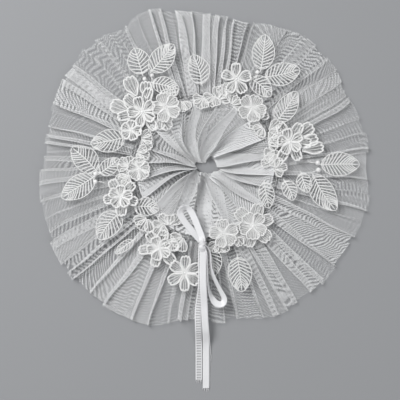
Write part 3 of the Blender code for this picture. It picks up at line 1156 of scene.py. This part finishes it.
FRILL_ROWS = 34
FRILL_TUCK = 2.6  # how far the frill laps the casing that it is sewn to
FRILL_RIDGE = 8.0
FRILL_RAGGED = 1.3  # how far one fold's edge lies inside or outside its neighbour's, at the hole
SWAY_INWARD = 1.3  # above 1, the folds bow most beyond half way to the hole
FRILL_CRUMPLE = 0.35
FRILL_CRUMPLE_LENGTH = 6
FRILL_LOWEST = 0.15
LAP = 12  # the lap over the casing takes a twelfth of the way to the hole


def frill_sheet(pleats, lift):
    """The frill from the band in to the hole, its places on the strip that was gathered, and its folds."""
    ring = BAND_INNER - SEAM
    rows, cut, folds = [], [], []
    for i in range(FRILL_ROWS):
        reach = i / (FRILL_ROWS - 1)
        valley, crest = between(FRILL_SECTIONS, reach)
        radius = ring * (1 - reach) + FRILL_GAP * reach
        outer = ring + FRILL_TUCK * max(0, 1 - LAP * reach)
        row, places = [], []
        steps = fold_steps(pleats, radius, reach, FRILL_RIDGE)
        for step in steps:
            start = math.radians(step.angle)
            turned = step.angle + round_table(FRILL_TWIST, step.angle)
            gap = round_table(FRILL_EDGE, turned) + FRILL_RAGGED * step.hem
            end = math.radians(turned)
            sway = round_table(FRILL_SWAY, step.angle) * math.sin(math.pi * reach**SWAY_INWARD)
            x = (1 - reach) * outer * math.cos(start) + reach * (FRILL_GAP_CENTRE[0] + gap * math.cos(end))
            y = (1 - reach) * outer * math.sin(start) + reach * (FRILL_GAP_CENTRE[1] + gap * math.sin(end))
            x -= sway * math.sin(start)
            y += sway * math.cos(start)
            crumple = soft_noise(x / FRILL_CRUMPLE_LENGTH, y / FRILL_CRUMPLE_LENGTH, 7.0)
            crumple *= FRILL_CRUMPLE * math.sin(math.pi * reach)
            z = valley + (crest - valley) * step.height + LAY * step.lay + crumple + lift
            row.append(Vector((x, y, max(z, FRILL_LOWEST))))
            places.append((step.place * MM, (ring - radius) * MM))
        rows.append(row)
        cut.append(places)
        folds.append([(step.crease, step.panel) for step in steps])
    return rows, cut, folds


BAND_RUCHES = 96
RUCHE_DEPTH = 0.22  # half of what a ruche takes off the casing's bulge
RUCHE_WANDER = 3.4  # how unevenly the ruches are spaced, in radians of one of them
CASING_SWAY = 0.9  # how far the casing lies inside or outside its ring
CASING_CLOTH = 1.6  # cloth over the length that it covers
BAND_AROUND = 528
BAND_POINTS = 14  # round its section
BAND_SQUARENESS = 0.55  # below 1, the section is a rounded square
BAND_STITCHES = 150
STITCH_INSET = 1.7  # from the casing's seam to its row of stitches
STITCH_HALF = 0.012  # half a stitch, in radians round the collar
STITCH_THREAD = 0.2  # half the thickness of its thread


def band_section():
    """The casing's section as it bulges between its seams: radius and height."""
    middle = (BAND_INNER + BAND_OUTER) / 2
    half = (BAND_OUTER - BAND_INNER) / 2
    points = []
    for k in range(BAND_POINTS):
        turn = TURN * k / BAND_POINTS
        wide = math.copysign(abs(math.cos(turn)) ** BAND_SQUARENESS, math.cos(turn))
        tall = math.copysign(abs(math.sin(turn)) ** BAND_SQUARENESS, math.sin(turn))
        points.append((middle + half * wide, BAND_TOP / 2 * (1 + tall)))
    return points


FLOOR_HALF = 2.5  # metres
LIGHTS = (  # name, metres from the middle of the picture, side of the softbox, its setting
    ("key_light", (-0.95, 0.85, 1.3), 0.9, "key"),
    ("fill_light", (1.1, -0.9, 1.0), 1.2, "fill"),
)
ROOM = (0.95, 0.97, 1.0, 1)  # the colour of the light from all round
NETS_DEEP = 48  # how many net surfaces a ray goes through
LENS = 110  # millimetres


class COLLAR_OT_stage(bpy.types.Operator):
    """Lay the pale floor, and set the lights and the camera straight above."""

    bl_idname = "collar.stage"
    bl_label = "Stage"

    def execute(self, context):
        stage = context.scene.collar_stage
        centre = Vector((stage.view_x, stage.view_y, 0))
        mesh = bpy.data.meshes.new("floor")
        corners = [(FLOOR_HALF * x, FLOOR_HALF * y, 0) for x, y in ((-1, -1), (1, -1), (1, 1), (-1, 1))]
        mesh.from_pydata(corners, [], [(0, 1, 2, 3)])
        mesh.materials.append(floor_finish())
        floor = bpy.data.objects.new("floor", mesh)
        context.collection.objects.link(floor)
        for name, place, size, setting in LIGHTS:
            light = bpy.data.lights.new(name, "AREA")
            light.size = size
            light.energy = getattr(stage, setting)
            lamp = bpy.data.objects.new(name, light)
            lamp.location = centre + Vector(place)
            lamp.rotation_euler = (centre - lamp.location).to_track_quat("-Z", "Y").to_euler()
            context.collection.objects.link(lamp)
        world = bpy.data.worlds.new("room")
        world.use_nodes = True
        background = world.node_tree.nodes["Background"]
        background.inputs["Color"].default_value = ROOM
        background.inputs["Strength"].default_value = stage.sky
        context.scene.world = world
        context.scene.view_settings.view_transform = "Standard"
        context.scene.cycles.transparent_max_bounces = NETS_DEEP
        lens = bpy.data.cameras.new("camera")
        lens.lens = LENS
        camera = bpy.data.objects.new("camera", lens)
        distance = stage.view_width * lens.lens / lens.sensor_width
        camera.location = centre + Vector((0, 0, distance))
        context.collection.objects.link(camera)
        context.scene.camera = camera
        return {"FINISHED"}


RIBBON_PLACES = (-0.96, -0.5, 0.0, 0.5, 0.96)  # places across its face, whose edges are at -1 and 1
RIBBON_SECTION = (  # place across, share of the thickness: over the face and back under it
    (-1.0, 0.0),
    *((place, 1.0) for place in RIBBON_PLACES),
    (1.0, 0.0),
    *((place, -1.0) for place in reversed(RIBBON_PLACES)),
    (-1.0, 0.0),
)
CURL = 0.25  # how far the ribbon's edges stand above its middle
CURL_FLAT = 0.4  # and how far its middle lies below, as a share of that
TWIST = 0.12  # how far it dips to one side and the other
TWIST_RUN = 0.35  # how soon it changes sides, in radians to a millimetre


def ribbon_strip(route, stands, ribbon, shown=1.0):
    """A ribbon's surface along a route in millimetres. It lies flat where its stand is 0 and is on edge at 1.
    shown is the share of its width that isn't folded under."""
    width, thick = ribbon.width / MM * shown, ribbon.thickness / MM
    rows, cut = [], []
    run = 0.0
    last = len(route) - 1
    for index, (point, stand) in enumerate(zip(route, stands)):
        if index:
            run += (point - route[index - 1]).length
        lean = math.radians(90 * stand)
        ahead = (route[min(index + 1, last)] - route[max(index - 1, 0)]).normalized()
        across = UP.cross(ahead).normalized() * math.cos(lean) + UP * math.sin(lean)
        face = ahead.cross(across).normalized()
        dip = TWIST * math.sin(run * TWIST_RUN)
        row = []
        for side, up in RIBBON_SECTION:
            curl = CURL * (side * side - CURL_FLAT) + dip * side
            row.append(point + across * (side * width / 2) + face * (up * thick / 2 + curl))
        rows.append(row)
        cut.append([(run * MM, side * width / 2 * MM) for side, _ in RIBBON_SECTION])
    return rows, cut


FRINGE_SEED = 4
FRINGE_THREADS = 15
FRINGE_WIDTH = 5.6
FRINGE_INSET = 0.6  # how far inside the ribbon's end its loose threads begin
FRINGE_THICK = 0.13  # half a frayed thread's thickness
LOOSE_THICK = 0.24  # and half the loose thread's
TAIL_STEPS = 5  # from each point of a tail's route to the next
THREAD_STEPS = 3  # and of the loose thread's


class COLLAR_OT_tails(bpy.types.Operator):
    """Lay the tie's two free tails over the ruffle and down to the floor."""

    bl_idname = "collar.tails"
    bl_label = "Ribbon tails"

    def execute(self, context):
        ribbon = context.scene.collar_ribbon
        rng = random.Random(FRINGE_SEED)
        finishes = {"tail_right": satin_finish("tail_satin"), "tail_left": sheer_satin_finish()}
        for name, points in TAILS.items():
            route = smooth_route(points, TAIL_STEPS)
            cloth = Cloth()
            cloth.grid(*ribbon_strip(route, [0] * len(route), ribbon))
            for thread in range(FRINGE_THREADS):
                across = (thread / (FRINGE_THREADS - 1) - 0.5) * FRINGE_WIDTH
                reach = rng.uniform(0.8, 3.6)
                begin = route[-1] + Vector((across, FRINGE_INSET, 0.0))
                tip = begin + Vector((rng.uniform(-0.8, 0.8), -FRINGE_INSET - reach, -0.05))
                cloth.tube([begin, begin.lerp(tip, 0.5), tip], FRINGE_THICK, sides=4)
            if name == "tail_right":
                cloth.tube(smooth_route(LOOSE_THREAD, THREAD_STEPS), LOOSE_THICK, sides=5)
            tail = cloth.make(name + "_ribbon", [finishes[name]], "ribbon", [name])
            length = sum((b - a).length for a, b in zip(route, route[1:]))
            route[0] * MM
            [p * MM for p in route]
        return {"FINISHED"}


class COLLAR_OT_ruffles(bpy.types.Operator):
    """Pleat the ruffle's two layers of net from the band out to the hem."""

    bl_idname = "collar.ruffles"
    bl_label = "Ruffle layers"

    def execute(self, context):
        pleats = ruffle_pleats()
        strip = sum(pleat.cloth for pleat in pleats) * MM
        reaches = [round_table(HEM, degrees) for degrees in range(0, 360, 5)]
        depth = sum(reaches) / len(reaches) - BAND_OUTER
        for level, (name, turn) in enumerate((("ruffle_lower", -5.0), ("ruffle_upper", 8.0))):
            rows, cut, folds = ruffle_sheet(pleats, level)
            cloth = Cloth()
            cloth.grid(rows, cut, folds=folds)
            tulle = net_finish(name + "_tulle", turn, stretch=1.0 + 0.07 * level)
            layer = cloth.make(name + "_net", [tulle], "net", [name])
            depth * MM
        return {"FINISHED"}


class COLLAR_OT_frill(bpy.types.Operator):
    """Let the neck frill fall inward from the band to the small hole."""

    bl_idname = "collar.frill"
    bl_label = "Neck frill"

    def execute(self, context):
        pleats = frill_pleats()
        strip = sum(pleat.cloth for pleat in pleats) * MM
        for name, lift, turn in (("frill_under", 0.0, 3.0), ("frill_over", 0.7, -5.0)):
            rows, cut, folds = frill_sheet(pleats, lift)
            cloth = Cloth()
            cloth.grid(rows, cut, folds=folds)
            tulle = net_finish(
                name + "_tulle", turn, thread_share=2.8, shimmer=0.75, pitch=0.0028, lines=0.0055
            )
            layer = cloth.make(name + "_net", [tulle], "net", ["inner_frill"])
        return {"FINISHED"}


class COLLAR_OT_band(bpy.types.Operator):
    """Ruche the casing between the ruffle and the frill, with its two rows of stitches."""

    bl_idname = "collar.band"
    bl_label = "Neck casing"

    def execute(self, context):
        cloth = Cloth()
        section = band_section()
        middle = (BAND_INNER + BAND_OUTER) / 2
        rows, cut = [], []
        for index in (*range(len(section)), 0):
            radius, height = section[index]
            row, places = [], []
            for k in range(BAND_AROUND + 1):
                angle = TURN * k / BAND_AROUND
                way = Vector((math.cos(angle), math.sin(angle)))
                ruche = math.sin(BAND_RUCHES * angle + RUCHE_WANDER * soft_noise(*(way * 6)))
                lift = 1 + RUCHE_DEPTH * (ruche - 1) * (height / BAND_TOP)
                sway = CASING_SWAY * soft_noise(*(way * 14), radius / 9)
                out = middle + (radius - middle) * lift + sway
                row.append(Vector((out * math.cos(angle), out * math.sin(angle), height * lift)))
                places.append((angle * middle * CASING_CLOTH * MM, index * CASING_CLOTH * MM))
            rows.append(row)
            cut.append(places)
        cloth.grid(rows, cut)
        for radius in (BAND_INNER + STITCH_INSET, BAND_OUTER - STITCH_INSET):
            for k in range(BAND_STITCHES):
                angle = TURN * k / BAND_STITCHES
                route = []
                for side, sunk in ((-1, 0.5), (0, 0.1), (1, 0.5)):
                    turn = angle + side * STITCH_HALF
                    route.append(Vector((radius * math.cos(turn), radius * math.sin(turn), BAND_TOP - sunk)))
                cloth.tube(route, STITCH_THREAD, sides=5, finish=1)
        casing = net_finish("casing_tulle", 0.0, thread_share=1.7)
        cloth.make("neck_casing", [casing, thread_finish("casing_stitches", 0.0006)], "net", ["neck_band"])
        return {"FINISHED"}


LACE_LIFT = 0.2  # from the foot of a leaf's or flower's solid up to its lace
LEAF_SEED = 40
FLOWER_SEED = 80
LEAF_EGG = 0.86  # below 1, a leaf is widest nearer its base
LEAF_BLUNT = 0.62  # below 1, its base and tip are blunt


class Leaf:
    """One embroidered leaf, from its base to its tip, in millimetres."""

    def __init__(self, number, row):
        self.name = f"leaf_{number + 1:02d}"
        base_x, base_y, tip_x, tip_y, width, lift = row
        self.base = Vector((base_x, base_y, 0))
        self.way = Vector((tip_x, tip_y, 0)) - self.base
        self.side = Vector((-self.way.y, self.way.x, 0)).normalized()
        self.half = width / 2
        self.lift = lift
        rng = random.Random(LEAF_SEED + number)
        self.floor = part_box(self.name)[0].z / MM + LACE_LIFT
        self.bend = rng.uniform(-0.09, 0.09) * width
        self.cup = rng.uniform(0.5, 1.3)
        self.arch = rng.uniform(0.2, 1.0)
        self.slant = rng.uniform(0.26, 0.36)

    def half_width(self, along):
        return self.half * math.sin(math.pi * along**LEAF_EGG) ** LEAF_BLUNT if 0 < along < 1 else 0.0

    def point(self, along, across, above=0.0):
        """A place on the leaf: 0 to 1 from base to tip, and -1 to 1 from edge to edge."""
        sideways = across * self.half_width(along) + self.bend * math.sin(math.pi * along)
        up = self.floor + self.lift * along * along + self.arch * math.sin(math.pi * along)
        up += self.cup * across * across * math.sin(math.pi * along) + above
        return self.base + self.way * along + self.side * sideways + Vector((0, 0, up))


NARROW = 6.0  # half the width under which a leaf's ribs are finer
NARROW_RIB = 0.7  # by this
LEAF_ROWS = 16
LEAF_COLUMNS = 8
LEAF_STEPS = 26  # along each half of its outline
LEAF_EDGE = 0.8  # the cord round it, to the edge cord's setting
LEAF_MIDRIB = 1.05  # and its midrib's
STALK = (2.6, 1.3)  # how far the midrib runs out beyond the base, at its points
FEWER_RIBS = 0.93  # the ribs, as a share of those that would fill the whole length
FIRST_RIB = 0.03  # where on the midrib the first one springs
RIB_STRETCH = 0.82  # the part of the midrib that they spring from
RIB_STEPS = 8
RIB_END = 0.97  # how near to the edge a rib ends, and the midrib to the tip
TIP_END = 0.975  # how near to the tip a rib may run
CORD_FLAT = 0.7  # a rib's height, as a share of its width


def rib_slant(leaf, foot):
    """How far along the leaf a rib leans by its edge: less for those by the base and the tip."""
    return leaf.slant * min(1, 0.25 + 1.6 * foot, (1.12 - foot) / 0.6)


def leaf_cloth(leaf, lace):
    cloth = Cloth()
    edge, rib = lace.edge_thread / MM, lace.rib_thread / MM
    length = leaf.way.length
    rows, cut = [], []
    across = [-1 + 2 * j / LEAF_COLUMNS for j in range(LEAF_COLUMNS + 1)]
    for i in range(LEAF_ROWS + 1):
        along = 0.01 + 0.98 * i / LEAF_ROWS
        rows.append([leaf.point(along, a) for a in across])
        cut.append([(along * length * MM, a * leaf.half_width(along) * MM) for a in across])
    cloth.grid(rows, cut, finish=1)
    steps = [i / LEAF_STEPS for i in range(LEAF_STEPS + 1)]
    outline = [leaf.point(s, 1, 0.15) for s in steps] + [leaf.point(s, -1, 0.15) for s in steps[-2:0:-1]]
    cloth.tube(outline, edge * LEAF_EDGE, closed=True)
    stalk = [leaf.point(0, 0, 0.2) - leaf.way.normalized() * reach for reach in STALK]
    midrib = stalk + [leaf.point(i / LEAF_ROWS * RIB_END, 0, 0.25) for i in range(LEAF_ROWS + 1)]
    cloth.tube(midrib, edge * LEAF_MIDRIB)
    count = round(FEWER_RIBS * length / (lace.rib_pitch / MM))
    if leaf.half < NARROW:
        rib *= NARROW_RIB
    for side in (-1, 1):
        for k in range(count):
            foot = FIRST_RIB + RIB_STRETCH * k / count
            route = []
            for step in range(RIB_STEPS + 1):
                share = step / RIB_STEPS * RIB_END
                along = foot + rib_slant(leaf, foot) * share
                if along < TIP_END:
                    route.append(leaf.point(along, side * share, 0.12))
            if len(route) > 2:
                cloth.tube(route, rib, flat=CORD_FLAT)
    return cloth


class COLLAR_OT_leaves(bpy.types.Operator):
    """Embroider the leaves: a corded edge, a midrib and side ribs on a sheer ground."""

    bl_idname = "collar.leaves"
    bl_label = "Lace leaves"

    def execute(self, context):
        lace = context.scene.collar_lace
        finishes = [thread_finish("leaf_thread", 0.0009), ground_finish("leaf_ground", 0.05)]
        for number, row in enumerate(LEAVES):
            leaf = Leaf(number, row)
            leaf_cloth(leaf, lace).make(leaf.name + "_lace", finishes, "lace", [leaf.name])
        return {"FINISHED"}


class Petal:
    """One petal, from its root outwards, in millimetres. It is narrow at the root, with three scallops at
    the end."""

    def __init__(self, root, angle, reach, width, floor, cup, wave):
        self.root = root
        self.way = Vector((math.cos(angle), math.sin(angle), 0))
        self.side = Vector((-self.way.y, self.way.x, 0))
        self.reach = reach
        self.half = width / 2
        self.floor = floor
        self.cup = cup
        self.wave = wave

    def half_width(self, along):
        return self.half * (0.14 + 0.86 * math.sin(math.pi / 2 * min(along / 0.7, 1.0)) ** 1.5)

    def point(self, along, across, above=0.0):
        """A place on the petal: 0 to 1 from root to end, and -1 to 1 from edge to edge."""
        scallop = 0.87 + 0.13 * abs(math.cos(1.5 * math.pi * across)) ** 0.6 - 0.16 * abs(across) ** 3
        out = self.reach * (0.1 + 0.9 * along * (1 + (scallop - 1) * along))
        up = self.floor + self.cup * along * along + 0.6 * self.cup * across * across * along
        up += self.wave * math.sin(4 * across + 3 * along) * along * abs(across) + above
        return self.root + self.way * out + self.side * (across * self.half_width(along)) + Vector((0, 0, up))


PETAL_ROWS = 8
PETAL_COLUMNS = 12
SIDE_STEPS = 9  # of its outline, along each side
END_STEPS = 18  # and round its end
FAN = 0.74  # how near to the petal's sides its outer threads lie
FAN_STEPS = 6


def petal_into(cloth, petal, edge, rib, ribs):
    """Works a petal: its ground, the cord round it, and threads that fan out along it."""
    rows, cut = [], []
    across = [-1 + 2 * j / PETAL_COLUMNS for j in range(PETAL_COLUMNS + 1)]
    for i in range(PETAL_ROWS + 1):
        along = i / PETAL_ROWS * 0.98
        rows.append([petal.point(along, a) for a in across])
        cut.append([(along * petal.reach * MM, a * petal.half_width(along) * MM) for a in across])
    cloth.grid(rows, cut, finish=1)
    sides = [0.05 + 0.95 * i / SIDE_STEPS for i in range(SIDE_STEPS + 1)]
    end = [1 - 2 * i / END_STEPS for i in range(1, END_STEPS)]
    outline = [petal.point(s, 1, 0.12) for s in sides]
    outline += [petal.point(1, a, 0.12) for a in end]
    outline += [petal.point(s, -1, 0.12) for s in reversed(sides)]
    cloth.tube(outline, edge, closed=True)
    for k in range(ribs):
        place = -FAN + 2 * FAN * k / (ribs - 1)
        fan = [petal.point(0.06 + 0.86 * s / FAN_STEPS, place, 0.1) for s in range(FAN_STEPS + 1)]
        cloth.tube(fan, rib, sides=5, flat=CORD_FLAT)


PETAL_WIDTH = 9.0  # the widest petal, but for chance
FAN_WIDTH = 11.5  # and in a flower over the casing, whose petals overlap
PETAL_FILL = 1.7  # a petal's width, to half of the way from its end to the next one's
FAN_FILL = 2.1
PETAL_EDGE = 1.6  # the cord round it, to the edge cord's setting
FAN_EDGE = 1.25
PETAL_RIB = 0.62  # its threads, to the rib thread's
OVER_CASING = 72.0  # the middles of the flowers over the casing lie nearer than this to the collar's
INNER_PETALS = 5
INNER_REACH = 0.62  # the inner ring's petals, to the outer ring's
INNER_LIFT = 0.9
BEADS = 6


def over_casing(x, y):
    return math.hypot(x, y) < OVER_CASING


def flower_cloth(number, row, lace):
    """A flower. Over the casing its petals are broad and closely threaded, and elsewhere they lie apart."""
    x, y, radius, petals, turn, tiers = row
    fill, widest, edge = PETAL_FILL, PETAL_WIDTH, PETAL_EDGE
    if over_casing(x, y):
        fill, widest, edge = FAN_FILL, FAN_WIDTH, FAN_EDGE
    edge *= lace.edge_thread / MM
    rib = lace.rib_thread / MM * PETAL_RIB
    rng = random.Random(FLOWER_SEED + number)
    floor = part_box(f"flower_{number + 1:02d}")[0].z / MM + LACE_LIFT
    centre = Vector((x, y, 0))
    cloth = Cloth()
    rings = [  # reach, petals, turn, height, cup
        (radius, petals, turn, floor, 1.0),
        (radius * INNER_REACH, INNER_PETALS, turn + 180 / petals, floor + INNER_LIFT, 1.4),
    ][:tiers]
    for reach, count, start, height, cup in rings:
        for k in range(count):
            angle = math.radians(start + 360 * k / count + rng.uniform(-6, 6))
            width = min(fill * reach * math.sin(math.pi / count), widest) * rng.uniform(0.84, 1.04)
            lift = cup * rng.uniform(0.6, 1.2)
            length = reach * rng.uniform(0.92, 1.04)
            petal = Petal(centre, angle, length, width, height + 0.3 * (k % 2), lift, rng.uniform(0.1, 0.5))
            petal_into(cloth, petal, edge, rib, round(width * 0.5))
    top = Vector((0, 0, rings[-1][3] + 0.3))
    bead = max(radius * 0.05, 0.7)
    cloth.dome(centre + top, bead * 1.5, bead * 1.2, finish=2)
    for k in range(BEADS):
        angle = TURN * k / BEADS + rng.uniform(-0.15, 0.15)
        out = Vector((math.cos(angle), math.sin(angle), 0)) * bead * 2.0
        cloth.dome(centre + out + top, bead * 0.8, bead * 0.8, finish=2)
    return cloth


class COLLAR_OT_flowers(bpy.types.Operator):
    """Embroider the flowers: corded petals with fanned ribs, and a beaded middle."""

    bl_idname = "collar.flowers"
    bl_label = "Lace flowers"

    def execute(self, context):
        lace = context.scene.collar_lace
        thread = thread_finish("petal_thread", 0.0009)
        beads = thread_finish("flower_beads", 0.0007)
        open_ground = ground_finish("petal_ground", 0.14)
        # The close ground's colour is darkened to 0.78: painted shade between the crowded petals over the
        # casing
        close_shaded_ground = ground_finish("close_petal_ground", 0.7, 0.78)
        for number, row in enumerate(FLOWERS):
            name = f"flower_{number + 1:02d}"
            ground = close_shaded_ground if over_casing(row[0], row[1]) else open_ground
            flower_cloth(number, row, lace).make(name + "_lace", [thread, ground, beads], "lace", [name])
        return {"FINISHED"}


SPRAYS = 60  # places round the casing for one, where the flowers leave room
SPRAY_SEED = 31
SPRAY_FLOOR = 6.9
SPRAY_SPREAD = 0.72  # from one petal of a spray to the next, in radians
SPRAY_STEP = 0.35  # and up
SPRAY_RIB = 0.6  # its threads, to the rib thread's
SPRAY_RIBS = 4
SPRAY_WAVE = 0.3
LOOSE_PETALS = (  # beyond the two largest flowers: root x, root y, tip x, tip y, width
    (-60, 62, -69, 81, 12),
    (-52, 60, -53, 77, 10),
    (-66, 50, -84, 57, 12),
    (81, 26, 96, 38, 11),
    (83, 22, 101, 26, 10),
    (84, 15, 106, 19, 10),
)
BOW_CLEARANCE = 15.0  # from the knot's middle to the nearest spray's


def clear_of_lace(spot):
    """Whether a spot lies outside every flower's middle and every leaf, and well away from the bow."""
    if (spot - Vector(KNOT_PLACE).to_2d().to_3d()).length < BOW_CLEARANCE:
        return False
    for x, y, radius, *_ in FLOWERS:
        if (spot - Vector((x, y, 0))).length < radius * 0.6:
            return False
    for base_x, base_y, tip_x, tip_y, width, _ in LEAVES:
        base, way = Vector((base_x, base_y, 0)), Vector((tip_x - base_x, tip_y - base_y, 0))
        share = min(max((spot - base).dot(way) / way.length_squared, 0), 1)
        if (spot - base - way * share).length < width / 2:
            return False
    return True


class COLLAR_OT_sprays(bpy.types.Operator):
    """Fill the lace between the flowers with sprays of loose petals, along the casing."""

    bl_idname = "collar.sprays"
    bl_label = "Petal sprays"

    def execute(self, context):
        lace = context.scene.collar_lace
        edge, rib = lace.edge_thread / MM, lace.rib_thread / MM * SPRAY_RIB
        rng = random.Random(SPRAY_SEED)
        cloth = Cloth()
        for k in range(SPRAYS):
            turn = TURN * (k + rng.uniform(-0.25, 0.25)) / SPRAYS
            radius = rng.uniform(60, 69)
            facing = turn + (0 if rng.random() < 0.7 else math.pi) + rng.uniform(-0.7, 0.7)
            spot = Vector((radius * math.cos(turn), radius * math.sin(turn), 0))
            middle = spot + Vector((math.cos(facing), math.sin(facing), 0)) * 4
            if not clear_of_lace(middle):
                continue
            for side in (-1, 0, 1):
                reach = rng.uniform(9, 14)
                width = rng.uniform(6.5, 10.0)
                floor = SPRAY_FLOOR + SPRAY_STEP * (side + 1)
                angle = facing + SPRAY_SPREAD * side
                petal = Petal(spot, angle, reach, width, floor, rng.uniform(0.3, 0.9), SPRAY_WAVE)
                petal_into(cloth, petal, edge, rib, SPRAY_RIBS)
        for root_x, root_y, tip_x, tip_y, width in LOOSE_PETALS:
            way = Vector((tip_x - root_x, tip_y - root_y, 0))
            root = Vector((root_x, root_y, 0))
            petal = Petal(root, math.atan2(way.y, way.x), way.length, width, SPRAY_FLOOR, 0.6, SPRAY_WAVE)
            petal_into(cloth, petal, edge * PETAL_EDGE, rib, SPRAY_RIBS)
        # The sprays' ground is darkened to 0.78: painted shade between their crowded petals
        finishes = [thread_finish("spray_thread", 0.0009), ground_finish("spray_ground", 0.4, 0.78)]
        cloth.make("petal_sprays", finishes, "lace")
        return {"FINISHED"}


STEM_BOW = 0.12  # how far a berry's stem bows to the side, to its length
STEM_LIFT = 0.3
STEM_THREAD = 0.8  # its cord, to the edge cord's setting


class COLLAR_OT_berries(bpy.types.Operator):
    """Add the satin-stitched berries beside the leaves, on their stems."""

    bl_idname = "collar.berries"
    bl_label = "Berries"

    def execute(self, context):
        lace = context.scene.collar_lace
        cloth = Cloth()
        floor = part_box("leaf_01")[0].z / MM + 0.1
        for x, y, radius, degrees, length in BERRIES:
            centre = Vector((x, y, floor))
            cloth.dome(centre, radius, radius * 0.75, sides=16, rings=5)
            way = Vector((math.cos(math.radians(degrees)), math.sin(math.radians(degrees)), 0))
            bend = Vector((-way.y, way.x, 0)) * STEM_BOW * length
            stem = []
            for t in (0, 0.3, 0.6, 1):
                place = centre + way * (radius * 0.8 + length * t) + bend * math.sin(3 * t)
                stem.append(place + UP * STEM_LIFT)
            cloth.tube(stem, lace.edge_thread / MM * STEM_THREAD)
        cloth.make("berries", [thread_finish("berry_thread", 0.0006)], "lace")
        return {"FINISHED"}


class COLLAR_OT_bow(bpy.types.Operator):
    """Tie the bow: its wrapped knot and its two loops."""

    bl_idname = "collar.bow"
    bl_label = "Bow"

    def execute(self, context):
        ribbon = context.scene.collar_ribbon
        satin = satin_finish("bow_satin")
        for name, points in LOOPS.items():
            cloth = Cloth()
            cloth.grid(*ribbon_strip(*standing_route(points, LOOP_STEPS), ribbon))
            cloth.make(name + "_ribbon", [satin], "ribbon", [name])
        cloth = Cloth()
        middles = smooth_route([row[:3] for row in KNOT_SECTIONS], KNOT_STEPS)
        sizes = smooth_route([(*row[3:], 0) for row in KNOT_SECTIONS], KNOT_STEPS)
        rows, cut = [], []
        for index, (middle, size) in enumerate(zip(middles, sizes)):
            row, places = [], []
            for k in range(KNOT_SIDES + 1):
                turn = TURN * k / KNOT_SIDES
                gather = 1 + KNOT_GATHER * math.sin(KNOT_FOLDS * turn + KNOT_TWIST * index)
                out = Vector((size.x * math.cos(turn), 0, size.y * math.sin(turn))) * gather
                row.append(middle + out)
                places.append((index / KNOT_STEPS * KNOT_PITCH * MM, turn * size.x * MM))
            rows.append(row)
            cut.append(places)
        cloth.grid(rows, cut)
        cloth.grid(*ribbon_strip(*standing_route(WRAP, WRAP_STEPS), ribbon, WRAP_SHARE))
        cloth.make("bow_knot_ribbon", [satin], "ribbon", ["bow_knot"])
        return {"FINISHED"}


class COLLAR_PT_panel(bpy.types.Panel):
    """The collar's steps and sizes."""

    bl_idname = "COLLAR_PT_panel"
    bl_label = "Tulle collar"
    bl_space_type = "VIEW_3D"
    bl_region_type = "UI"
    bl_category = "Collar"

    def draw(self, context):
        for name, step in STEPS:
            self.layout.operator("collar." + step, text=name)
        for group in ("collar_net", "collar_lace", "collar_ribbon", "collar_stage"):
            settings = getattr(context.scene, group)
            box = self.layout.box()
            for key in settings.__annotations__:
                box.prop(settings, key)


STEPS = (
    ("Stage", "stage"),
    ("Ribbon tails", "tails"),
    ("Ruffle layers", "ruffles"),
    ("Neck frill", "frill"),
    ("Neck casing", "band"),
    ("Lace leaves", "leaves"),
    ("Lace flowers", "flowers"),
    ("Petal sprays", "sprays"),
    ("Berries", "berries"),
    ("Bow", "bow"),
)
GROUPS = {
    "collar_net": NetSettings,
    "collar_lace": LaceSettings,
    "collar_ribbon": RibbonSettings,
    "collar_stage": StageSettings,
}
CLASSES = (
    *GROUPS.values(),
    COLLAR_OT_stage,
    COLLAR_OT_tails,
    COLLAR_OT_ruffles,
    COLLAR_OT_frill,
    COLLAR_OT_band,
    COLLAR_OT_leaves,
    COLLAR_OT_flowers,
    COLLAR_OT_sprays,
    COLLAR_OT_berries,
    COLLAR_OT_bow,
    COLLAR_PT_panel,
)


def register():
    for cls in CLASSES:
        bpy.utils.register_class(cls)
    for name, group in GROUPS.items():
        setattr(bpy.types.Scene, name, bpy.props.PointerProperty(type=group))


def unregister():
    for name in GROUPS:
        delattr(bpy.types.Scene, name)
    for cls in reversed(CLASSES):
        bpy.utils.unregister_class(cls)


def main():
    register()
    for _, step in STEPS:
        getattr(bpy.ops.collar, step)()


if __name__ == "__main__":
    main()
